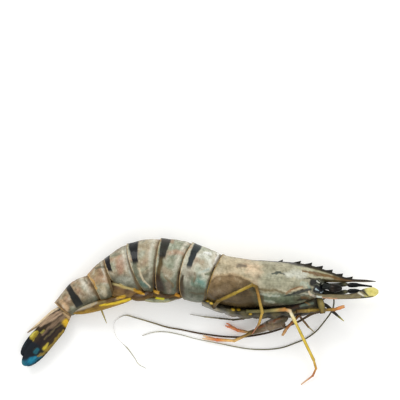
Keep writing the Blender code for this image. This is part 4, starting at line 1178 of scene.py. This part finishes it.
def scaleShape(sign):
    read = smoothRows(head["scale"], head["scaleGrid"][0])
    turn = turnRow(head["scaleGrid"][1])
    x, top, bottom, z, half = (read[:, k][:, None] for k in range(5))
    height = z if sign > 0 else 2 * body["headMiddle"] - z
    y = between(top, bottom, turn)
    rib = 1 + 0.5 * np.exp(-((np.cos(turn) - 0.5) / 0.14) ** 2)
    points = np.stack([x + 0 * turn, y, height + half * 0.72 * np.sin(turn) * rib], axis=-1)
    tone = plainTone(head["scaleTone"], points)
    tone = paintOver(tone, head["scaleTipTone"], 0.95 * smoothStep(84.5, 87.0, points[..., 0]))
    tone = drawMarks(tone, warpedPoints(points, 0.25, 95, 3.0), head["scaleMarks"])
    grain = np.stack([points[..., 0], turn * 2.0 + 0 * x, 0 * y], axis=-1)
    return closedTube(points, tone, grain)


for sideName, place in (("Right", list), ("Left", mirrored)):
    node = sideName.lower()
    eye = rodShape(place(head["eye"]), head["eyeStops"], 70, 44)
    makePiece(f"eye{sideName}", eye, skin["eyeSkin"], [f"eye_{node}"])
    rows = head["antennule"]
    if sideName == "Left":
        rise = head["antennuleRise"]
        middle = body["headMiddle"]
        rows = [(x, y + np.interp(x, *rise), middle, radius) for x, y, z, radius in rows]
    antennule = rodShape(rows, head["antennuleStops"], 90, 28)
    makePiece(f"antennule{sideName}", antennule, skin["eyeSkin"], [f"antennule_{node}"])
    blade = scaleShape(1 if sideName == "Right" else -1)
    makePiece(f"antennalScale{sideName}", blade, skin["limbSkin"], [f"antennal_scale_{node}"])
    stalk = rodShape(place(head["stalk"]), head["stalkStops"], 40, 28)
    makePiece(f"antennaStalk{sideName}", stalk, skin["swimmerSkin"], [f"antenna_stalk_{node}"])
    palp = rodShape(place(head["maxilliped"]), head["maxillipedStops"], 50, 20)
    makePiece(f"maxilliped{sideName}", palp, skin["limbSkin"], [f"maxilliped_{node}"])
print("head parts made")


# Long feelers: route, radius at root and tip, and pinch, a share of the radius along the route
feelers = {
    "antenna_right": {
        "route": [
            (62.2, 0.4, 21.4), (57.3, -1.2, 20.4), (51.8, -4.6, 15.4), (46.3, -7.2, 9.2),
            (41.2, -9.4, 4.8), (35.4, -11.2, 1.9), (28.1, -12.7, 0.6), (20.8, -13.5, 0.55),
            (12.5, -13.2, 0.5), (5.2, -12.3, 0.5), (-2.1, -11.2, 0.5), (-9.4, -9.7, 0.5),
            (-17.2, -8.3, 0.5), (-24.1, -6.2, 0.5), (-33.4, -3.5, 0.5), (-39.5, -2.2, 0.5),
            (-44.8, -6.0, 0.5), (-44.3, -12.2, 0.5), (-41.3, -16.0, 0.5), (-37.7, -19.6, 0.5),
            (-34.2, -24.4, 0.5), (-32.1, -27.6, 0.5), (-28.1, -29.9, 0.5),
        ],
        "radii": (0.62, 0.2),
        "stops": [
            (0.0, (66, 48, 20)), (0.3, (60, 42, 18)), (0.5, (78, 52, 22)), (0.62, (110, 92, 48)),
            (0.74, (150, 144, 118)), (0.78, (228, 228, 224)), (0.87, (226, 226, 222)),
            (0.9, (160, 158, 130)), (1.0, (206, 206, 196)),
        ],
        "pinch": [(0.0, 1.0), (0.74, 1.0), (0.78, 0.35), (0.87, 0.35), (0.9, 1.0), (1.0, 0.8)],
    },
    "antenna_left": {
        "route": [
            (64.0, 6.2, 7.4), (66.6, 8.0, 7.2), (69.0, 8.0, 6.9), (69.9, 5.6, 6.6),
            (69.3, 1.6, 6.0), (67.4, -1.9, 4.6), (63.2, -7.6, 2.2), (60.2, -10.9, 0.9),
            (55.5, -14.2, 0.5), (49.9, -16.6, 0.5), (43.4, -18.9, 0.5), (36.5, -19.9, 0.5),
            (28.1, -19.9, 0.5), (20.3, -18.9, 0.5), (10.8, -17.0, 0.5), (-1.3, -14.6, 0.5),
            (-9.4, -12.4, 0.5), (-17.5, -10.8, 0.5), (-24.1, -10.9, 0.5), (-30.2, -12.7, 0.5),
        ],
        "radii": (0.42, 0.2),
        "stops": [
            (0.0, (78, 68, 34)), (0.4, (96, 90, 52)), (0.6, (140, 138, 110)),
            (0.75, (176, 174, 156)), (0.9, (140, 136, 104)), (1.0, (196, 194, 180)),
        ],
        "pinch": [(0.0, 1.0), (0.6, 0.95), (0.75, 0.75), (1.0, 0.9)],
    },
}
feelerForm = {"count": 420, "sides": 12, "ringLength": 1.1, "ringSwell": 0.05, "ringShade": 0.18}


# Whip: a rod on a smooth route, thinning evenly, its rings swelling by a sine of the length
def feelerPiece(node, values):
    route = smoothRows(values["route"], feelerForm["count"])
    reach = lengths(route)
    share = reach / reach[-1]
    thick, thin = values["radii"]
    pinch = np.interp(share, [p[0] for p in values["pinch"]], [p[1] for p in values["pinch"]])
    wave = np.sin(reach * 2 * math.pi / feelerForm["ringLength"])
    radius = (thick + (thin - thick) * share) * pinch * (1 + feelerForm["ringSwell"] * wave)
    points, turn = tubePoints(np.column_stack([route, radius]), feelerForm["sides"])
    tone = toneAlong(share, values["stops"])
    tone = tone * (1 - feelerForm["ringShade"] * (wave > 0))[:, None]
    tone = tone[:, None, :] + 0 * points
    grain = np.stack([reach[:, None] + 0 * turn, turn[None, :] * radius[:, None],
        0 * points[..., 0]], axis=-1)
    name = "feeler" + node.split("_")[1].title()
    makePiece(name, closedTube(points, tone, grain), skin["limbSkin"], [node])


for node, values in feelers.items():
    feelerPiece(node, values)
print("feelers made")


# Walking legs: joints as x, y, z, radius, whether the leg ends in a pincer, colours along it
legs = {
    "leg_1_right": (
        [
            (50.0, 0.6, 21.0, 1.0), (56.2, 0.8, 19.0, 1.0), (65.0, 1.2, 17.1, 0.9),
            (69.9, 1.4, 16.9, 0.9), (75.1, 3.1, 16.8, 0.3),
        ],
        True,
        [
            (0.0, (84, 62, 28)), (0.25, (150, 124, 52)), (0.5, (128, 104, 44)),
            (0.72, (150, 116, 50)), (0.86, (206, 130, 66)), (1.0, (214, 142, 96)),
        ],
    ),
    "leg_2_right": (
        [
            (51.8, -1.2, 16.0, 0.9), (47.8, -5.4, 14.6, 0.8), (45.2, -8.4, 11.6, 0.8),
            (42.9, -12.4, 8.4, 0.3),
        ],
        True,
        [(0.0, (104, 74, 34)), (0.5, (160, 96, 44)), (1.0, (206, 160, 100))],
    ),
    "leg_3_right": (
        [
            (43.4, -6.1, 14.8, 2.1), (36.2, -7.2, 11.2, 2.7), (26.0, -11.4, 5.2, 0.9),
            (17.9, -15.3, 3.4, 0.8), (8.8, -14.8, 2.6, 0.9), (1.3, -13.4, 2.2, 0.3),
        ],
        True,
        [
            (0.0, (112, 96, 74)), (0.22, (132, 114, 92)), (0.36, (88, 72, 36)),
            (0.5, (150, 118, 56)), (0.6, (232, 190, 116)), (0.76, (238, 176, 100)),
            (0.83, (222, 104, 52)), (0.88, (236, 160, 104)), (1.0, (248, 222, 180)),
        ],
    ),
    "leg_4_right": (
        [
            (24.0, 0.6, 22.5, 1.0), (32.5, 0.6, 22.5, 0.95), (43.8, 1.6, 22.1, 1.0),
            (46.5, 0.8, 22.0, 1.0), (48.4, -3.0, 20.4, 0.95), (59.3, -25.2, 6.2, 0.75),
            (60.6, -29.8, 3.8, 0.6), (59.0, -33.6, 2.0, 0.55), (52.8, -38.4, 0.75, 0.25),
        ],
        False,
        [
            (0.0, (92, 88, 50)), (0.2, (128, 118, 72)), (0.28, (196, 138, 66)),
            (0.33, (240, 232, 196)), (0.4, (228, 202, 96)), (0.5, (222, 194, 70)),
            (0.72, (214, 182, 60)), (0.8, (206, 160, 62)), (0.88, (200, 122, 66)),
            (1.0, (214, 166, 128)),
        ],
    ),
    "leg_5_right": (
        [
            (7.0, 2.8, 21.2, 1.1), (9.2, 5.8, 24.8, 1.0), (17.8, 10.0, 27.3, 0.9),
            (26.9, 14.4, 28.0, 0.9), (29.1, 13.4, 27.9, 0.9), (32.2, 0.2, 25.0, 0.8),
            (30.6, -6.0, 18.8, 0.7), (27.3, -11.4, 7.6, 0.25),
        ],
        False,
        [
            (0.0, (66, 48, 20)), (0.1, (120, 96, 32)), (0.3, (176, 148, 50)), (0.44, (110, 84, 28)),
            (0.5, (160, 116, 44)), (0.62, (178, 150, 66)), (0.7, (196, 158, 58)),
            (0.85, (136, 82, 34)), (1.0, (186, 104, 66)),
        ],
    ),
    "leg_1_left": (
        [(51.0, -1.2, 10.0, 0.7), (56.6, -8.0, 7.0, 0.5), (59.5, -10.6, 5.2, 0.25)],
        False,
        [(0.0, (86, 58, 26)), (0.6, (122, 92, 50)), (1.0, (176, 168, 130))],
    ),
    "leg_2_left": (
        [(46.5, 0.4, 4.3, 1.0), (53.4, 0.2, 6.1, 0.9), (60.2, 0.2, 7.4, 0.3)],
        True,
        [(0.0, (120, 88, 34)), (0.5, (176, 130, 48)), (1.0, (200, 120, 56))],
    ),
    "leg_3_left": (
        [
            (41.2, -4.3, 8.8, 1.1), (32.2, -8.6, 4.6, 1.0), (25.6, -11.0, 2.2, 0.8),
            (19.8, -9.9, 1.7, 0.9), (13.5, -6.8, 1.4, 0.3),
        ],
        True,
        [
            (0.0, (104, 80, 40)), (0.4, (160, 124, 66)), (0.6, (222, 190, 130)),
            (0.78, (232, 132, 80)), (1.0, (238, 146, 108)),
        ],
    ),
    "leg_4_left": (
        [
            (41.0, -0.4, 3.4, 1.0), (29.0, -1.0, 2.9, 0.9), (17.0, -0.6, 3.2, 0.8),
            (13.4, 0.6, 3.2, 0.3),
        ],
        False,
        [(0.0, (120, 96, 40)), (0.5, (190, 156, 56)), (1.0, (196, 126, 58))],
    ),
    "leg_5_left": (
        [
            (26.4, -2.2, 7.4, 0.6), (22.6, -3.7, 5.8, 0.55), (17.5, -4.4, 2.4, 0.5),
            (10.4, -3.7, 1.0, 0.42), (2.6, -2.9, 0.75, 0.3), (-5.2, -1.6, 0.6, 0.15),
        ],
        False,
        [(0.0, (60, 50, 30)), (0.5, (84, 76, 54)), (0.75, (150, 146, 128)), (1.0, (214, 212, 204))],
    ),
}
# Broad first joint that joins the third right leg to the thorax
broadJoint = [(45.4, -1.8, 14.8, 1.0), (43.6, -3.6, 14.6, 1.9), (39.4, -5.0, 12.8, 2.3),
    (35.0, -7.0, 10.8, 2.2), (31.0, -8.6, 8.6, 1.4)]
broadJointMarks = [
    ((178, 170, 162), 0.8, 0.7, [(38.0, -3.0, 0.9), (33.4, -5.4, 1.1)]),
    ((70, 62, 34), 0.85, 0.6, [(44.2, -4.0, 0.9), (36.8, -7.9, 0.9), (30.1, -10.0, 0.6)]),
    ((150, 84, 42), 0.85, 0.5, [(41.6, -2.8, 0.3), (34.7, -6.4, 0.4), (28.0, -9.2, 0.4)]),
]
broadJointStops = [(0.0, (84, 70, 48)), (0.4, (140, 124, 106)), (0.8, (128, 112, 90)),
    (1.0, (110, 92, 56))]
limbForm = {
    "steps": [(0.0, 1.12), (0.05, 1.1), (0.10, 0.9), (0.16, 0.84), (0.3, 0.9), (0.5, 0.97),
        (0.7, 1.0), (0.86, 1.0), (0.95, 1.06)],
    "pincerShare": 0.42,
    "fingerSpread": 0.7,
    "closed": {"leg_1_right": 0.6, "leg_2_right": 0.4},
    "sides": 18,
    "thinnest": 0.1,
}


# Limb: straight parts between joints, swollen at each joint and necked just past it
def limbRows(joints):
    rows = []
    for a, b in zip(joints, joints[1:]):
        a = np.array(a, dtype=float)
        b = np.array(b, dtype=float)
        for t, factor in limbForm["steps"]:
            row = a + (b - a) * t
            row[3] *= factor
            rows.append(row)
    rows.append(np.array(joints[-1], dtype=float))
    return np.array(rows)


def limbShape(rows, stops, start=0.0, end=1.0):
    rows = rows.copy()
    rows[:, 3] = np.maximum(rows[:, 3], limbForm["thinnest"])
    points, turn = tubePoints(rows, limbForm["sides"])
    reach = lengths(rows)
    share = start + (end - start) * reach / reach[-1]
    tone = toneAlong(share, stops)[:, None, :] * rimShade(points, turn)
    grain = np.stack([reach[:, None] + 0 * turn, turn[None, :] * rows[:, 3][:, None],
        0 * points[..., 0]], axis=-1)
    return closedTube(points, tone, grain)


def legPiece(node, joints, pincer, stops):
    words = node.split("_")
    name = f"leg{words[1]}{words[2].title()}"
    if not pincer:
        makePiece(name, limbShape(limbRows(joints), stops), skin["limbSkin"], [node])
        return
    wrist = np.array(joints[-2])
    tip = np.array(joints[-1])
    palm = wrist + (tip - wrist) * (1 - limbForm["pincerShare"])
    palm[3] = wrist[3] * 1.05
    aside = np.array([-(tip - palm)[1], (tip - palm)[0]])
    spread = limbForm["fingerSpread"] * limbForm["closed"].get(node, 1.0)
    aside = aside / np.linalg.norm(aside) * spread
    fixedTip = tip.copy()
    fixedTip[:2] += aside
    freeTip = tip.copy()
    freeTip[:2] -= aside
    fixedBend = palm + (fixedTip - palm) * 0.5
    fixedBend[:2] += aside * 0.45
    fixedBend[3] = palm[3] * 0.55
    fixedFinger = smoothRows([palm, fixedBend, fixedTip], 14)[1:]
    limb = np.vstack([limbRows(joints[:-1] + [tuple(palm)]), fixedFinger])
    freeRoot = palm + (wrist - palm) * 0.25
    freeRoot[3] = palm[3] * 0.6
    bend = palm + (freeTip - palm) * 0.45
    bend[:2] -= aside * 0.5
    bend[3] = palm[3] * 0.5
    freeFinger = smoothRows([freeRoot, bend, freeTip], 16)
    shapes = [limbShape(limb, stops), limbShape(freeFinger, stops, 0.85, 1.0)]
    if node == "leg_3_right":
        broad = limbShape(smoothRows(broadJoint, 60), broadJointStops)
        broad["tone"] = drawMarks(broad["tone"], warpedPoints(broad["points"], 0.25, 99, 3.0),
            broadJointMarks)
        shapes.append(broad)
    shape = joinShapes(shapes)
    makePiece(name, shape, skin["limbSkin"], [node])


for node, (joints, pincer, stops) in legs.items():
    legPiece(node, joints, pincer, stops)
print("legs made")


# Swimming legs under the belly: rows of x, upper y, lower y
swimmers = {
    "rows": [
        [(-10.6, 8.0, 6.9), (-14.4, 6.9, 5.9), (-18.6, 6.0, 4.9), (-28.2, 5.8, 5.1)],
        [(-9.0, 8.0, 6.7), (-16.6, 7.4, 6.2), (-24.4, 9.4, 6.2)],
        [(-23.2, 8.9, 6.2), (-26.6, 9.0, 6.0), (-30.0, 6.8, 5.7), (-35.3, 6.4, 5.6)],
        [(-30.2, 9.4, 7.2), (-36.4, 11.2, 7.2), (-43.0, 13.3, 7.4), (-47.4, 14.0, 8.4)],
        [(-36.9, 6.2, 5.2), (-44.2, 5.8, 3.1), (-50.4, 4.2, 1.0), (-57.4, 1.6, -0.9),
         (-64.6, -1.0, -2.6)],
    ],
    "tones": [(98, 92, 64), (76, 54, 26), (76, 54, 28), (104, 78, 50), (106, 78, 30)],
    "paleTone": (146, 152, 126),
    "offsetShare": 0.32,
    "halfShare": 0.27,
    "reachUp": [1.8, 3.6, 3.6, 3.2, 2.6],
    "longer": 1.12,
    "taper": 0.35,
    "endNarrowing": 0.72,
    "splay": 0.16,
    "edgeTone": (208, 166, 44),
    "shadeTone": (58, 38, 16),
    "grid": (60, 40),
    "marks": [
        ((172, 164, 146), 0.9, 0.6, [(-65.4, 1.0, 1.0), (-61.0, 2.4, 1.1), (-57.4, 3.6, 1.1),
         (-53.6, 4.9, 0.5)]),
        ((132, 116, 70), 0.7, 0.6, [(-53.0, 4.6, 0.7), (-49.6, 5.4, 0.6)]),
        ((64, 48, 28), 0.8, 0.5, [(-15.6, 6.9, 0.6), (-11.4, 7.9, 0.7)]),
        ((118, 96, 40), 0.7, 0.5, [(-42.0, 8.2, 0.5), (-38.6, 8.6, 0.4)]),
    ],
    "stub": [(-51.4, 1.1, 9.4, 0.5), (-50.2, -2.1, 8.4, 0.4), (-48.7, -6.0, 7.0, 0.2)],
    "stubStops": [(0.0, (150, 128, 54)), (1.0, (158, 150, 92))],
}


def bodyMiddle(x):
    middles = [plate[1] for plate in abdomen["sections"]]
    stations = sorted((row[0], row[4] - body["flatSink"]) for row in middles)
    return np.interp(x, [s[0] for s in stations], [s[1] for s in stations])


# Swimming leg: an oval blade beside the belly's middle plane, combed along its length
def swimmerPiece(number, sideName, sign):
    rows = swimmers["rows"][number]
    read = smoothRows(rows, swimmers["grid"][0])
    turn = turnRow(swimmers["grid"][1])
    x, top, bottom = (read[:, k][:, None] for k in range(3))
    top = top + swimmers["reachUp"][number]
    halfLength = (x.max() - x.min()) / 2
    place = (x - x.min()) / halfLength - 1
    x = x.min() + halfLength * (1 + place * swimmers["longer"])
    bottom = bottom + (top - bottom) * swimmers["taper"] * np.abs(place) ** 5
    middle = bodyMiddle(x)
    y = between(top, bottom, turn)
    comb = 1 + 0.05 * np.sin(turn * 9)
    slim = 1 - swimmers["endNarrowing"] * np.abs(place) ** 3
    lean = sign * swimmers["offsetShare"] * (1 - swimmers["splay"] * place)
    z = middle * (1 + lean + swimmers["halfShare"] * slim * np.sin(turn) * comb)
    points = np.stack([x + 0 * turn, y, z], axis=-1)
    tone = plainTone(swimmers["tones"][number], points)
    if number == 0:
        upper = smoothStep(-0.2, 0.8, sign * np.sin(turn) + 0.3 * ripple(points, 3.0, 120))
        tone = paintOver(tone, swimmers["paleTone"], 0.95 * upper * smoothStep(0.7, -0.1, np.cos(turn)))
    tone = paintOver(tone, swimmers["shadeTone"],
        0.6 * smoothStep(0.0, 1.0, ripple(points, 3.0, 100 + number)))
    low = smoothStep(0.1, -0.8, np.cos(turn) + 0.3 * ripple(points, 5.0, 110 + number))
    low = low * smoothStep(-0.7, 0.3, sign * np.sin(turn) + 0.3 * ripple(points, 3.0, 115 + number))
    tone = paintOver(tone, swimmers["edgeTone"], (0.34 if number == 4 else 0.12) * low)
    tone = drawMarks(tone, points, swimmers["marks"] + bellyMarks)
    grain = np.stack([x + 0 * turn, turn * 3.0 + 0 * x, 0 * y], axis=-1)
    piece = closedTube(points, tone, grain)
    node = f"pleopod_{number + 1}_{sideName.lower()}"
    makePiece(f"swimmer{number + 1}{sideName}", piece, skin["swimmerSkin"], [node])


for number in range(5):
    for sideName, sign in (("Right", 1), ("Left", -1)):
        swimmerPiece(number, sideName, sign)
stub = rodShape(swimmers["stub"], swimmers["stubStops"], 30, 12)
makePiece("swimmerTip", stub, skin["limbSkin"], ["pleopod_tip"])
print("swimming legs made")


# Table and light; each light has a place, a size and a power
studio = {
    "floorSize": 3.0,
    "floorTone": (246, 246, 244),
    "floorGlow": 0.14,
    "lights": [
        ("keyLight", (-0.5, 1.0, 0.9), 0.7, 9.0),
        ("fillLight", (0.95, -0.3, 0.8), 0.9, 3.6),
        ("lowLight", (-0.5, -1.0, 0.8), 0.9, 3.0),
    ],
    "sky": 0.72,
}


def makeFloor():
    data = bpy.data.meshes.new("studioFloor")
    half = studio["floorSize"] / 2
    data.from_pydata([(-half, -half, 0), (half, -half, 0), (half, half, 0), (-half, half, 0)], [],
        [(0, 1, 2, 3)])
    floor = bpy.data.objects.new("studioFloor", data)
    bpy.context.scene.collection.objects.link(floor)
    material = bpy.data.materials.new("floorPaper")
    material.use_nodes = True
    shader = material.node_tree.nodes["Principled BSDF"]
    shader.inputs["Base Color"].default_value = (*paint(*studio["floorTone"]), 1.0)
    shader.inputs["Roughness"].default_value = 0.9
    shader.inputs["Emission Color"].default_value = (1.0, 1.0, 1.0, 1.0)
    shader.inputs["Emission Strength"].default_value = studio["floorGlow"]
    data.materials.append(material)


def makeLight(name, place, size, power):
    light = bpy.data.lights.new(name, "AREA")
    light.size = size
    light.energy = power
    lamp = bpy.data.objects.new(name, light)
    lamp.location = place
    way = Vector((0.0, 0.01, 0.01)) - Vector(place)
    lamp.rotation_euler = way.to_track_quat("-Z", "Y").to_euler()
    bpy.context.scene.collection.objects.link(lamp)


makeFloor()
for values in studio["lights"]:
    makeLight(*values)
world = bpy.data.worlds.new("softRoom")
world.use_nodes = True
world.node_tree.nodes["Background"].inputs["Color"].default_value = (1.0, 1.0, 1.0, 1.0)
world.node_tree.nodes["Background"].inputs["Strength"].default_value = studio["sky"]
bpy.context.scene.world = world
bpy.context.scene.view_settings.view_transform = "Standard"
print("studio made")
